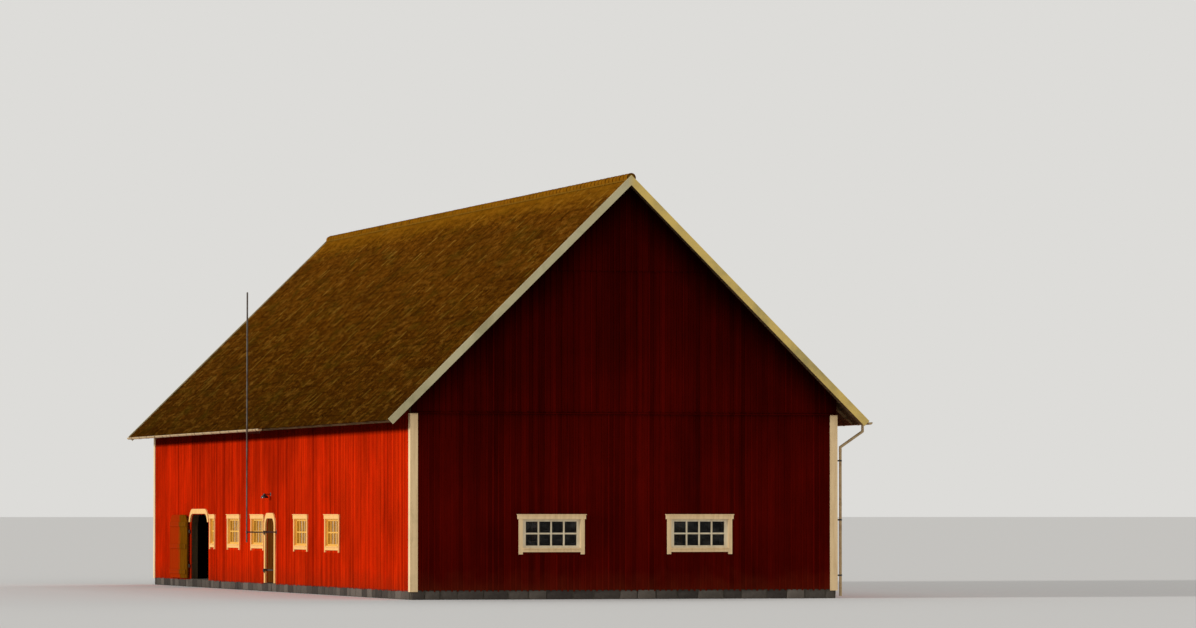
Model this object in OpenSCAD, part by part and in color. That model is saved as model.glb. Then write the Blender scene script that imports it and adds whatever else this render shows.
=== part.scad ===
// Timber barn with a steep tiled roof, two doorways in its long west side,
// white corner boards, white barge boards and small-paned windows.
// The front gable faces -Y, the long side with the doorways faces -X.
// Origin: middle of the floor's underside, at ground level. Units: millimetres.

/* [Overall size] */
// Width over the wall faces
barn_w = 11840; // [10000:20:13000]
// Length over the wall faces
barn_l = 35140; // [34600:20:37000]
// Height of the stone footing, and of the floor, above the ground
plinth_h = 250; // [200:10:350]
// Thickness of the outer walls
wall_t = 220; // [180:10:300]

/* [Roof] */
// Half width of the roof at its lower edge
eave_run = 6680; // [6400:10:6900]
// Height of the roof's lower edge above the floor
eave_rise = 4540; // [4300:10:4700]
// Height of the top of the barge boards above the floor
apex_rise = 11090; // [10500:10:11500]
// How far the roof runs past each gable wall
verge_over = 580; // [300:10:800]
// Thickness of the roof deck, square to the slope
deck_t = 70; // [50:5:120]
// Room for the tiles above the deck, square to the slope
tile_room = 60; // [40:5:80]
// Width of a barge board, square to the slope
barge_w = 190; // [140:5:240]

/* [Gables] */
// Height of the drip board across the gable, above the floor
belt_rise = 4740; // [4600:10:4900]
// Height of the second joint in the gable boarding, above the floor
tier_rise = 8540; // [8000:10:9000]
// How far each tier of gable boarding stands out over the one below
tier_step = 30; // [15:5:45]

/* [Windows] */
// Width over a window's outer casing boards
win_w = 1820; // [1500:10:2000]
// Height from a window's lowest board to the top of its head board
win_h = 990; // [900:10:1100]
// Height of a window's middle above the floor
win_mid = 1505; // [1400:5:1600]
// Width of a casing board
casing_w = 110; // [80:5:140]
// Distance of each gable window from the middle of the gable
gable_win_x = 2060; // [1500:10:3000]

/* [Doorways] */
// Clear width of the big doorway
big_w = 2750; // [2400:10:2800]
// Crown height of the big doorway above the floor
big_h = 2020; // [1900:10:2300]
// Clear width of the small doorway
small_w = 1180; // [1000:10:1200]
// Crown height of the small doorway above the floor
small_h = 1900; // [1850:10:2100]
// Angle of the big leaf: 0 is folded back on the wall, 180 is shut
big_angle = 0; // [0:5:180]
// Angle of the small leaf: 0 is shut, 165 is fully open
small_angle = 0; // [0:5:165]

/* [Hidden] */
$fn = 48;

// Half sizes of the wall box, and the faces that other pieces meet
half_w = barn_w / 2;
half_l = barn_l / 2;
in_x = half_w - wall_t;
in_y = half_l - wall_t;
floor_z = plinth_h;
footing_w = 300;

// Roof slopes: a point on the covering's top, measured down square to the slope
apex_z = floor_z + apex_rise;
eave_z = floor_z + eave_rise;
pitch = atan((apex_z - eave_z) / eave_run);
function slope_z(x, down) = apex_z - down / cos(pitch) - abs(x) * tan(pitch);
function eave_x(down) = eave_run - down * sin(pitch);
deck_top = tile_room;
deck_low = tile_room + deck_t;
// Hair's breadth left where a sloped face rests on another
seat = 0.3;
under_deck = deck_low + seat;
over_deck = deck_top - seat;
rafter_h = 150;
rafter_w = 70;
rafter_low = under_deck + rafter_h;
verge_y = half_l + verge_over;
barge_t = 35;
ridge_r = 130;
ridge_rise = 60;

// Heights of the gable's joints
belt_z = floor_z + belt_rise;
tier_z = floor_z + tier_rise;
drip_h = 40;

// Boards on the corners
corner_w = 210;
corner_t = 30;

// Places along the west wall, measured from the front corner
function along(t) = -half_l + t;
small_y = along(17440);
big_y = along(27850);
small_half = small_w / 2;
big_half = big_w / 2;
small_r = 260;
big_r = 430;
narrow_w = 800;
west_windows = [[along(9300), win_w], [along(13340), win_w], [along(19240), win_w],
                [along(22670), win_w], [along(25840), narrow_w]];
east_pitch = 5400;
east_windows = [for (i = [-2.5:1:2.5]) [i * east_pitch, win_w]];
gable_windows = [[-gable_win_x, win_w], [gable_win_x, win_w]];
win_z = floor_z + win_mid;
sash_stile = 75;
sash_rail = 42;
sash_t = 46;
sash_in = 30;
lining_t = 22;
lining_d = 95;
glass_t = 8;
casing_t = 35;
sill_out = 60;
ear = 35;
leg_drop = 60;

// Frame timbers
beam = 200;
plate_w = 150;
rafter_plate_z = 5440;
tie_z = rafter_plate_z - plate_w - beam;
truss_step = 1265;
truss_n = 27;
truss_ys = [for (i = [0:truss_n]) (i - truss_n / 2) * truss_step];
tie_ys = [for (i = [0:3:truss_n]) truss_ys[i]];
collar_z = 8600;
collar_h = 150;
tail_h = 90;

// Doors
leaf_t = 50;
leaf_gap = 15;
leaf_lift = 15;
ledge_t = 26;
ledge_w = 150;
ledge_inset = 90;
// How far each shut leaf's outer face stands out from the wall's face: the small one sits back in its
// doorway and hangs on cranked straps
big_proud = 16;
small_proud = -25;
// How far each hinge pin stands out from the wall's face
big_pin_out = 40;
small_pin_out = 75;
pin_r = 11;
pin_gap = 1;
barrel_r = 22;
barrel_h = 70;
strap_t = 8;
strap_w = 55;
surround_w = 160;
surround_t = 45;
trim_low = 1780;
// Both leaves hang on the rear jamb, with the pins just outside the opening
pin_beside = 30;
big_hinge_y = big_y + big_half + pin_beside;
small_hinge_y = small_y + small_half + pin_beside;
big_pin_x = -half_w - big_pin_out;
small_pin_x = -half_w - small_pin_out;
big_strap_zs = [420, 1500];
small_strap_zs = [380, 1500];

// Gutters and pipes
gutter_r = 62;
gutter_t = 4;
gutter_x = eave_run + 35;
gutter_z = eave_z - 40;
west_gutter_from = along(15300);
west_gutter_to = half_l + 300;
pipe_r = 38;
pipe_x = half_w + 160;
pipe_y = -half_l + 130;

// Wall lamp and mast
lamp_z = floor_z + 2570;
mast_r = 24;
mast_x = -half_w - 900;
mast_y = along(16600);
mast_low = floor_z + 1200;
mast_top = floor_z + 8500;
mast_wall_z = floor_z + 1500;
mast_eave_z = eave_z - 130;
clamp_h = 60;
clamp_t = 12;

// A flat doorway outline, width w and crown h, with corners rounded by r
module doorway(w, h, r) {
    translate([-w / 2, 0]) square([w, h - r]);
    translate([-w / 2 + r, 0]) square([w - 2 * r, h]);
    for (s = [-1, 1]) translate([s * (w / 2 - r), h - r]) circle(r, $fn = 144);
}

// Stands a flat outline (along, up) upright at floor level in a side wall,
// reaching from x = from to x = to, with its middle at y
module on_west(from, to, y) {
    translate([from, y, floor_z]) rotate([90, 0, 90]) linear_extrude(to - from) children();
}

// Cross-section of a long wall on the +X side: its top follows the roof deck
module long_wall_section(low) {
    polygon([[in_x, low], [half_w, low],
             [half_w, slope_z(half_w, under_deck)], [in_x, slope_z(in_x, under_deck)]]);
}

// A length of long wall from y0 to y1, starting at height low, on side s
module long_wall(s, y0, y1, low) {
    mirror([s < 0 ? 1 : 0, 0, 0])
        translate([0, y1, 0]) rotate([90, 0, 0]) linear_extrude(y1 - y0) long_wall_section(low);
}

// Window hole in a long wall (side s), middle at y, outer casing width w
module side_hole(s, y, w) {
    hole_w = w - 2 * casing_w;
    hole_h = win_h - 2 * casing_w;
    translate([s * (half_w - wall_t / 2), y, win_z]) cube([wall_t + 20, hole_w, hole_h], center = true);
}

// Boards round a window on a face that looks to -Y, middle at the origin, wall face at y = 0
module casing(w) {
    head_h = casing_w;
    for (s = [-1, 1])
        translate([s > 0 ? w / 2 - casing_w : -w / 2, -casing_t, -win_h / 2 - leg_drop])
            cube([casing_w, casing_t, win_h - head_h + leg_drop]);
    translate([-w / 2 - ear, -casing_t - 8, win_h / 2 - head_h])
        cube([w + 2 * ear, casing_t + 8, head_h]);
    translate([-w / 2 - ear - 15, -sill_out, win_h / 2]) cube([w + 2 * ear + 30, sill_out, 22]);
    translate([-w / 2 + casing_w, -casing_t, -win_h / 2]) cube([w - 2 * casing_w, casing_t, casing_w - 25]);
    translate([-w / 2 + casing_w, -sill_out, -win_h / 2 + casing_w - 25])
        cube([w - 2 * casing_w, sill_out, 25]);
}

// Upright rectangular frame w wide and h high, from the depth y0 to y0 + depth behind the face
module frame_ring(w, h, side, rail, y0, depth) {
    difference() {
        translate([-w / 2, y0, -h / 2]) cube([w, depth, h]);
        translate([-w / 2 + side, y0 - 1, -h / 2 + rail]) cube([w - 2 * side, depth + 2, h - 2 * rail]);
    }
}

// Lining boards of the hole and the sash frame inside them, same frame of reference
module sash(w) {
    hole_w = w - 2 * casing_w;
    hole_h = win_h - 2 * casing_w;
    union() {
        frame_ring(hole_w, hole_h, lining_t, lining_t, 0, lining_d);
        frame_ring(hole_w - 2 * lining_t, hole_h - 2 * lining_t, sash_stile, sash_rail, sash_in, sash_t);
    }
}

// Sheet of glass held in the sash, same frame of reference
module pane(w) {
    glass_w = w - 2 * (casing_w + lining_t + sash_stile);
    glass_h = win_h - 2 * (casing_w + lining_t + sash_rail);
    translate([-glass_w / 2, sash_in + sash_t / 2, -glass_h / 2]) cube([glass_w, glass_t, glass_h]);
}

// Places something made for a face that looks to -Y on each window of a wall
module at_side_windows(s, list) {
    for (p = list) translate([s * half_w, p[0], win_z]) rotate([0, 0, s * 90]) {
        $win = p[1];
        children();
    }
}
module at_gable_windows() {
    for (s = [-1, 1]) for (p = gable_windows)
        translate([p[0], s * half_l, win_z]) rotate([0, 0, s < 0 ? 0 : 180]) {
            $win = p[1];
            children();
        }
}

// Footing

// Ring of stone footing under the walls
module foundation() {
    back = 20;
    color("gray") difference() {
        translate([-half_w + back, -half_l + back, 0])
            cube([barn_w - 2 * back, barn_l - 2 * back, plinth_h]);
        translate([-half_w + footing_w, -half_l + footing_w, -10])
            cube([barn_w - 2 * footing_w, barn_l - 2 * footing_w, plinth_h + 20]);
    }
}

// Floor inside the footing
module floor_slab() {
    color("darkgray") translate([-half_w + footing_w, -half_l + footing_w, 0])
        cube([barn_w - 2 * footing_w, barn_l - 2 * footing_w, plinth_h]);
}

// Walls

module west_wall_front() {
    color("firebrick") difference() {
        long_wall(-1, -in_y, small_y - small_half, floor_z);
        for (i = [0, 1]) side_hole(-1, west_windows[i][0], west_windows[i][1]);
    }
}

module west_wall_middle() {
    color("firebrick") difference() {
        long_wall(-1, small_y + small_half, big_y - big_half, floor_z);
        for (i = [2:4]) side_hole(-1, west_windows[i][0], west_windows[i][1]);
    }
}

module west_wall_rear() {
    color("firebrick") long_wall(-1, big_y + big_half, in_y, floor_z);
}

// Wall over a doorway: its underside follows the rounded head
module wall_over(y, w, h, r) {
    lip = 60;
    difference() {
        long_wall(-1, y - w / 2, y + w / 2, floor_z + h - r + lip);
        on_west(-half_w - 10, -in_x + 10, y) doorway(w, h, r);
    }
}

module west_wall_over_small_door() {
    color("firebrick") wall_over(small_y, small_w, small_h, small_r);
}

module west_wall_over_big_door() {
    color("firebrick") wall_over(big_y, big_w, big_h, big_r);
}

module east_wall() {
    color("firebrick") difference() {
        long_wall(1, -in_y, in_y, floor_z);
        for (p = east_windows) side_hole(1, p[0], p[1]);
    }
}

// Lower part of a gable end, with two windows, on the side s = -1 front, 1 rear
module end_wall(s) {
    hole_w = win_w - 2 * casing_w;
    hole_h = win_h - 2 * casing_w;
    difference() {
        translate([-half_w, s < 0 ? -half_l : in_y, floor_z]) cube([barn_w, wall_t, belt_z - floor_z]);
        for (p = gable_windows)
            translate([p[0], s * (half_l - wall_t / 2), win_z])
                cube([hole_w, wall_t + 20, hole_h], center = true);
    }
}

module front_wall() { color("firebrick") end_wall(-1); }
module rear_wall() { color("firebrick") end_wall(1); }

// Gable boarding between two heights, out steps proud of the wall face
module gable_tier(s, low, high, out) {
    top = slope_z(0, under_deck);
    reach = min(half_w, (top - low) / tan(pitch));
    reach_top = max(0, (top - high) / tan(pitch));
    shoulder = slope_z(half_w, under_deck);
    points = low < shoulder
        ? [[-half_w, low], [half_w, low], [half_w, shoulder], [reach_top, high],
           [-reach_top, high], [-half_w, shoulder]]
        : [[-reach, low], [reach, low], [0, top]];
    translate([0, s < 0 ? -in_y : half_l + out, 0]) rotate([90, 0, 0])
        linear_extrude(wall_t + out) polygon(points);
}

// A gable above the drip board: two tiers, the upper one standing out over the lower
module gable(s) {
    gable_tier(s, belt_z, tier_z, tier_step);
    gable_tier(s, tier_z, apex_z, 2 * tier_step);
}

module front_gable() { color("firebrick") gable(-1); }
module rear_gable() { color("firebrick") gable(1); }

// Sloped drip boards over the joint at the belt, on both gables
module drip_boards() {
    out = tier_step + 65;
    color("indianred") for (s = [-1, 1])
        mirror([0, s > 0 ? 1 : 0, 0])
            translate([-half_w, -half_l, belt_z - drip_h]) rotate([90, 0, 90])
                linear_extrude(barn_w)
                    polygon([[0, 0], [-out, 0], [-out, drip_h / 2], [0, drip_h]]);
}

// White boards on the four corners, two boards each
module corner_boards() {
    top = belt_z - drip_h;
    color("ivory") for (sx = [-1, 1]) for (sy = [-1, 1])
        mirror([sx < 0 ? 1 : 0, 0, 0]) mirror([0, sy < 0 ? 1 : 0, 0])
            translate([half_w, half_l, floor_z - 40]) linear_extrude(top - floor_z + 40)
                polygon([[corner_t, corner_t], [corner_t, -corner_w + corner_t], [0, -corner_w + corner_t],
                         [0, 0], [-corner_w + corner_t, 0], [-corner_w + corner_t, corner_t]]);
}

// Frame timbers

// Two beams along each long wall's inner face: one carries the tie beams,
// one lies on their ends and takes the feet of the rafters
module wall_plates() {
    color("sienna") for (s = [-1, 1]) for (z = [tie_z - beam, tie_z + beam])
        translate([s > 0 ? in_x - plate_w : -in_x, -in_y, z])
            cube([plate_w, 2 * in_y, z < tie_z ? beam : plate_w]);
}

// Beams from wall to wall
module tie_beams() {
    color("sienna") for (y = tie_ys)
        translate([-in_x, y - beam / 2, tie_z]) cube([2 * in_x, beam, beam]);
}

// One rafter on the +X side, cut to sit on its plate
module rafter_outline() {
    intersection() {
        polygon([[0, slope_z(0, under_deck)], [in_x, slope_z(in_x, under_deck)],
                 [in_x, slope_z(in_x, rafter_low)], [0, slope_z(0, rafter_low)]]);
        translate([0, rafter_plate_z]) square([in_x, apex_z]);
    }
}

module rafters(s) {
    for (y = truss_ys)
        mirror([s < 0 ? 1 : 0, 0, 0])
            translate([0, y + rafter_w / 2, 0]) rotate([90, 0, 0])
                linear_extrude(rafter_w) rafter_outline();
}

module west_rafters() { color("peru") rafters(-1); }
module east_rafters() { color("peru") rafters(1); }

// Short beams high up between each pair of rafters
module collar_ties() {
    under_rafter = rafter_low + seat;
    reach = (slope_z(0, under_rafter) - collar_z) / tan(pitch);
    reach_top = (slope_z(0, under_rafter) - collar_z - collar_h) / tan(pitch);
    color("peru") for (y = truss_ys)
        translate([0, y + rafter_w / 2, 0]) rotate([90, 0, 0]) linear_extrude(rafter_w)
            polygon([[-reach, collar_z], [reach, collar_z],
                     [reach_top, collar_z + collar_h], [-reach_top, collar_z + collar_h]]);
}

// Rafter tails under both eaves, from the wall faces outwards
module rafter_tails() {
    tail_out = eave_x(deck_low) - 60;
    color("peru") for (y = truss_ys) for (s = [-1, 1])
        mirror([s < 0 ? 1 : 0, 0, 0])
            translate([0, y + rafter_w / 2, 0]) rotate([90, 0, 0]) linear_extrude(rafter_w)
                polygon([[half_w, slope_z(half_w, under_deck)], [tail_out, slope_z(tail_out, under_deck)],
                         [tail_out, slope_z(tail_out, under_deck + tail_h / 2)],
                         [half_w, slope_z(half_w, under_deck + tail_h)]]);
}

// Roof

module roof_deck(s) {
    mirror([s < 0 ? 1 : 0, 0, 0])
        translate([0, verge_y - barge_t, 0]) rotate([90, 0, 0]) linear_extrude(2 * (verge_y - barge_t))
            polygon([[0, slope_z(0, deck_top)],
                     [eave_x(deck_top), slope_z(eave_x(deck_top), deck_top)],
                     [eave_x(deck_low), slope_z(eave_x(deck_low), deck_low)],
                     [0, slope_z(0, deck_low)]]);
}

module west_roof_deck() { color("saddlebrown") roof_deck(-1); }
module east_roof_deck() { color("saddlebrown") roof_deck(1); }

// Row of rounded ridge tiles bedded in mortar along the top
module ridge_tiles() {
    lift = apex_z + ridge_rise - ridge_r;
    skirt = ridge_r + 35;
    steps = 24;
    crown = [for (i = [0:steps]) let (a = 180 * i / steps) [ridge_r * cos(a), lift + ridge_r * sin(a)]];
    color("chocolate") translate([0, verge_y - barge_t, 0]) rotate([90, 0, 0])
        linear_extrude(2 * (verge_y - barge_t))
            polygon(concat(crown, [[-skirt, slope_z(skirt, over_deck)], [0, slope_z(0, over_deck)],
                                   [skirt, slope_z(skirt, over_deck)]]));
}

// A pair of barge boards that meet at the top, s = -1 front, 1 rear
module barge_boards(s) {
    color("ivory") translate([0, s < 0 ? -verge_y + barge_t : verge_y, 0]) rotate([90, 0, 0])
        linear_extrude(barge_t)
            for (m = [0, 1]) mirror([m, 0])
                polygon([[0, apex_z], [eave_run, eave_z],
                         [eave_x(barge_w), slope_z(eave_x(barge_w), barge_w)], [0, slope_z(0, barge_w)]]);
}

module front_barge_boards() { barge_boards(-1); }
module rear_barge_boards() { barge_boards(1); }

// Windows

module west_window_casings() { color("ivory") at_side_windows(-1, west_windows) casing($win); }
module west_window_sashes() { color("white") at_side_windows(-1, west_windows) sash($win); }
module west_window_glass() { color("darkslategray") at_side_windows(-1, west_windows) pane($win); }
module east_window_casings() { color("ivory") at_side_windows(1, east_windows) casing($win); }
module east_window_sashes() { color("white") at_side_windows(1, east_windows) sash($win); }
module east_window_glass() { color("darkslategray") at_side_windows(1, east_windows) pane($win); }
module gable_window_casings() { color("ivory") at_gable_windows() casing($win); }
module gable_window_sashes() { color("white") at_gable_windows() sash($win); }
module gable_window_glass() { color("darkslategray") at_gable_windows() pane($win); }

// Doors

// White band over the big doorway that follows its rounded head
module big_door_head_trim() {
    band = 170;
    color("ivory") on_west(-half_w - surround_t, -half_w, big_y) difference() {
        doorway(big_w + 2 * band, big_h + band, big_r + band);
        doorway(big_w + 40, big_h + 20, big_r + 20);
        translate([-big_w, -10]) square([2 * big_w, trim_low + 10]);
    }
}

// White boards round the small doorway, down to the footing
module small_door_surround() {
    color("ivory") on_west(-half_w - surround_t, -half_w, small_y) difference() {
        doorway(small_w + 2 * surround_w, small_h + surround_w, small_r + surround_w);
        translate([0, -10]) doorway(small_w, small_h + 10, small_r);
    }
}

// Fixed half of a hinge: a pin on a bracket, base_x away from the face it is bolted to
module pintle(pin_x, hinge_y, z, base_x) {
    arm_h = 26;
    plate_t = 8;
    arm_z = -barrel_h / 2 - 2 - arm_h;
    translate([pin_x, hinge_y, floor_z + z]) {
        translate([0, 0, arm_z]) cylinder(h = arm_h + barrel_h + 8, r = pin_r);
        translate([0, 0, arm_z]) cylinder(h = arm_h, r = barrel_r);
        translate([0, -12, arm_z]) cube([base_x, 24, arm_h]);
        translate([base_x - plate_t, -12, arm_z - 30]) cube([plate_t, 80, arm_h + 28]);
    }
}

module big_door_pintles() {
    color("dimgray") for (z = big_strap_zs) pintle(big_pin_x, big_hinge_y, z, big_pin_out);
}

module small_door_pintles() {
    color("dimgray") for (z = small_strap_zs)
        pintle(small_pin_x, small_hinge_y, z, small_pin_out - surround_t);
}

// The leaf's outer face and its near edge, seen from the pin with the leaf folded back along +Y
big_outer = big_proud - big_pin_out;
small_outer = small_proud - small_pin_out;
leaf_edge = pin_beside + leaf_gap;

// Moving half of a hinge: an eye round the pin, an arm level with the pin, a crank beside the leaf's
// edge where the leaf lies deeper, and a strap that narrows along the leaf's outer face
module strap(length, z, outer) {
    root = strap_w / 2;
    tip = strap_w / 4;
    translate([0, 0, floor_z + z]) difference() {
        union() {
            translate([0, 0, -barrel_h / 2]) cylinder(h = barrel_h, r = barrel_r);
            translate([-strap_t / 2, 0, -root]) cube([strap_t, leaf_edge + strap_t, strap_w]);
            translate([outer, leaf_edge, -root]) cube([-outer, strap_t, strap_w]);
            translate([outer + strap_t, 0, 0]) rotate([0, -90, 0]) linear_extrude(strap_t)
                polygon([[-root, leaf_edge], [root, leaf_edge], [tip, length], [-tip, length]]);
            translate([outer, length, 0]) rotate([0, 90, 0]) cylinder(h = strap_t, r = root);
        }
        translate([0, 0, -barrel_h]) cylinder(h = 2 * barrel_h, r = pin_r + pin_gap);
    }
}

// Leaf of a doorway w wide and h high with its straps, folded back along +Y from the pin
module hung_leaf(w, h, r, outer, strap_len, strap_zs) {
    leaf_w = w - 2 * leaf_gap;
    leaf_h = h - leaf_lift - leaf_gap;
    translate([outer - leaf_t, leaf_edge + leaf_w / 2, floor_z + leaf_lift]) rotate([90, 0, 90])
        linear_extrude(leaf_t) doorway(leaf_w, leaf_h, r);
    for (z = [200, leaf_h / 2, leaf_h - 300])
        translate([outer - leaf_t - ledge_t, leaf_edge + ledge_inset, floor_z + leaf_lift + z - ledge_w / 2])
            cube([ledge_t, leaf_w - 2 * ledge_inset, ledge_w]);
    for (z = strap_zs) strap(strap_len, z, outer);
}

// Big leaf, folded back against the wall behind the doorway
module big_door_leaf() {
    color("saddlebrown") translate([big_pin_x, big_hinge_y, 0]) rotate([0, 0, big_angle])
        hung_leaf(big_w, big_h, big_r, big_outer, 1700, big_strap_zs);
}

// Small leaf, shut
module small_door_leaf() {
    color("saddlebrown") translate([small_pin_x, small_hinge_y, 0]) rotate([0, 0, 180 - small_angle])
        hung_leaf(small_w, small_h, small_r, small_outer, 850, small_strap_zs);
}

// Handle plate and grip on the outer face of the small leaf, near its free edge
module small_door_latch() {
    plate_t = 6;
    grip_out = 46;
    reach = leaf_edge + small_w - 2 * leaf_gap - 70;
    color("dimgray") translate([small_pin_x, small_hinge_y, 0]) rotate([0, 0, 180 - small_angle])
        translate([small_outer, reach, floor_z + 1000]) {
            translate([0, -30, -90]) cube([plate_t, 60, 180]);
            for (z = [-50, 50]) translate([plate_t, -8, z - 8]) cube([grip_out - plate_t, 16, 16]);
            translate([grip_out, 0, -58]) cylinder(h = 116, r = 9);
        }
}

// Fittings

// Points of a dome from its neck radius out and down to its rim radius, falling by drop
function dome(neck, rim, from_z, drop) =
    [for (a = [0:15:90]) [neck + (rim - neck) * sin(a), from_z - drop * (1 - cos(a))]];

// Half section of the lamp's shade: a closed neck over an open dome with a wall of shade_t
lamp_neck = 34;
lamp_rim = 110;
lamp_top = 62;
lamp_shoulder = 20;
lamp_fall = 90;
shade_t = 5;
bulb_r = 20;
bulb_drop = 30;
inner_dome = dome(lamp_neck - shade_t, lamp_rim - shade_t, lamp_shoulder - shade_t, lamp_fall - shade_t);
shade_section = concat(
    [[0, lamp_top], [lamp_neck, lamp_top]],
    dome(lamp_neck, lamp_rim, lamp_shoulder, lamp_fall),
    [for (i = [len(inner_dome) - 1:-1:0]) inner_dome[i]],
    [[0, lamp_shoulder - shade_t]]);

// Lamp on a short arm over the small doorway: its bulb hangs in the open shade
module wall_lamp() {
    plate_t = 12;
    plate_w = 90;
    reach = 190;
    arm_r = 12;
    arm_z = (lamp_top + lamp_shoulder) / 2;
    color("black") translate([-half_w, small_y, lamp_z]) {
        translate([-plate_t, -plate_w / 2, arm_z - plate_w / 2]) cube([plate_t, plate_w, plate_w]);
        translate([0, 0, arm_z]) rotate([0, -90, 0]) cylinder(h = reach, r = arm_r);
        translate([-reach, 0, 0]) {
            rotate_extrude() polygon(shade_section);
            translate([0, 0, lamp_shoulder - bulb_drop]) cylinder(h = bulb_drop, r = arm_r);
            translate([0, 0, lamp_shoulder - bulb_drop]) sphere(bulb_r);
        }
    }
}

// Thin upright pole that stands clear of the eave
module mast() {
    color("dimgray") translate([mast_x, mast_y, mast_low]) {
        cylinder(h = mast_top - mast_low, r = mast_r);
        translate([0, 0, mast_top - mast_low]) sphere(mast_r);
    }
}

// Ring round the pole at height z, with room for an arm that reaches it
module mast_clamp(z) {
    difference() {
        union() {
            translate([mast_x, mast_y, z - clamp_h / 2]) cylinder(h = clamp_h, r = mast_r + clamp_t);
            children();
        }
        translate([mast_x, mast_y, z - clamp_h]) cylinder(h = 2 * clamp_h, r = mast_r);
    }
}

// Arm that holds the pole off the wall, and a hanger under the roof boards at the eave
module mast_brackets() {
    plate_t = 10;
    plate_w = 120;
    bar_w = 40;
    bar_t = 16;
    out_x = -mast_x;
    in_x0 = eave_run - 240;
    in_x1 = in_x0 + bar_t;
    low_z = mast_eave_z - bar_t;
    color("dimgray") {
        translate([-half_w - plate_t, mast_y - plate_w / 2, mast_wall_z - plate_w / 2])
            cube([plate_t, plate_w, plate_w]);
        mast_clamp(mast_wall_z)
            translate([mast_x, mast_y - bar_w / 2, mast_wall_z - bar_w / 2])
                cube([-half_w - mast_x - plate_t, bar_w, bar_w]);
        mast_clamp(mast_eave_z)
            translate([0, mast_y - bar_w / 2, 0]) rotate([90, 0, 180]) linear_extrude(bar_w)
                polygon([[in_x0, low_z], [out_x, low_z], [out_x, mast_eave_z], [in_x1, mast_eave_z],
                         [in_x1, slope_z(in_x1, under_deck)], [in_x0, slope_z(in_x0, under_deck)]]);
    }
}

// Half-round trough from y0 to y1 with closed ends
module trough(y0, y1) {
    difference() {
        rotate([90, 0, 0]) translate([0, 0, -y1]) cylinder(h = y1 - y0, r = gutter_r);
        rotate([90, 0, 0]) translate([0, 0, -y1 + gutter_t])
            cylinder(h = y1 - y0 - 2 * gutter_t, r = gutter_r - gutter_t);
        translate([-gutter_r - 5, y0 - 5, 0]) cube([2 * gutter_r + 10, y1 - y0 + 10, gutter_r + 5]);
    }
}

module west_gutter() {
    color("lightgray") translate([-gutter_x, 0, gutter_z]) trough(west_gutter_from, west_gutter_to);
}

module east_gutter() {
    color("lightgray") translate([gutter_x, 0, gutter_z]) trough(-verge_y + 20, verge_y - 20);
}

// Straps laid on the roof deck and bent round the gutters
module gutter_brackets() {
    thick = 6;
    strap = 30;
    top = over_deck - thick;
    edge = eave_x(deck_top);
    back = edge - 120;
    rim = gutter_x - gutter_r;
    color("gray") for (y = truss_ys) for (s = [-1, 1])
        if (s > 0 || (y > west_gutter_from + 100 && y < west_gutter_to - 100))
            mirror([s < 0 ? 1 : 0, 0, 0]) translate([0, y + strap / 2, 0]) rotate([90, 0, 0])
                linear_extrude(strap) {
                    translate([gutter_x, gutter_z]) difference() {
                        circle(gutter_r + thick);
                        circle(gutter_r);
                        translate([-2 * gutter_r, 0]) square([4 * gutter_r, 2 * gutter_r]);
                    }
                    polygon([[back, slope_z(back, over_deck)], [edge, slope_z(edge, over_deck)],
                             [rim, gutter_z - 2 * thick], [rim, gutter_z],
                             [edge, slope_z(edge, top)], [back, slope_z(back, top)]]);
                }
}

// Downpipe with its swan neck back to the wall, at the front right corner
module downpipe() {
    knee_z = gutter_z - gutter_r - 170;
    elbow_z = knee_z - 430;
    foot_z = 60;
    color("lightgray") difference() {
        union() {
            translate([gutter_x, pipe_y, knee_z]) cylinder(h = gutter_z - knee_z - 40, r = pipe_r);
            translate([gutter_x, pipe_y, knee_z]) sphere(pipe_r);
            rod(gutter_x, knee_z, pipe_x, elbow_z);
            translate([pipe_x, pipe_y, elbow_z]) sphere(pipe_r);
            translate([pipe_x, pipe_y, foot_z]) cylinder(h = elbow_z - foot_z, r = pipe_r);
        }
        translate([gutter_x, pipe_y + 200, gutter_z]) rotate([90, 0, 0]) cylinder(h = 400, r = gutter_r);
    }
}

// Round bar in the plane of the downpipe between two points (x, z)
module rod(x0, z0, x1, z1) {
    run = sqrt(pow(x1 - x0, 2) + pow(z1 - z0, 2));
    translate([x0, pipe_y, z0]) rotate([0, atan2(x1 - x0, z1 - z0), 0]) cylinder(h = run, r = pipe_r);
}

// Clips that hold the downpipe to the wall
module downpipe_clips() {
    color("gray") for (z = [600, 2100, 3700]) difference() {
        union() {
            translate([pipe_x, pipe_y, z]) cylinder(h = 40, r = pipe_r + 6);
            translate([half_w + corner_t, pipe_y - 10, z]) cube([pipe_x - half_w - corner_t, 20, 40]);
        }
        translate([pipe_x, pipe_y, z - 10]) cylinder(h = 60, r = pipe_r);
    }
}

foundation();
floor_slab();
west_wall_front();
west_wall_middle();
west_wall_rear();
west_wall_over_small_door();
west_wall_over_big_door();
east_wall();
front_wall();
rear_wall();
front_gable();
rear_gable();
drip_boards();
corner_boards();
wall_plates();
tie_beams();
west_rafters();
east_rafters();
collar_ties();
rafter_tails();
west_roof_deck();
east_roof_deck();
ridge_tiles();
front_barge_boards();
rear_barge_boards();
west_window_casings();
west_window_sashes();
west_window_glass();
east_window_casings();
east_window_sashes();
east_window_glass();
gable_window_casings();
gable_window_sashes();
gable_window_glass();
big_door_head_trim();
big_door_pintles();
big_door_leaf();
small_door_surround();
small_door_pintles();
small_door_leaf();
small_door_latch();
wall_lamp();
mast();
mast_brackets();
west_gutter();
east_gutter();
gutter_brackets();
downpipe();
downpipe_clips();
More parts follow.
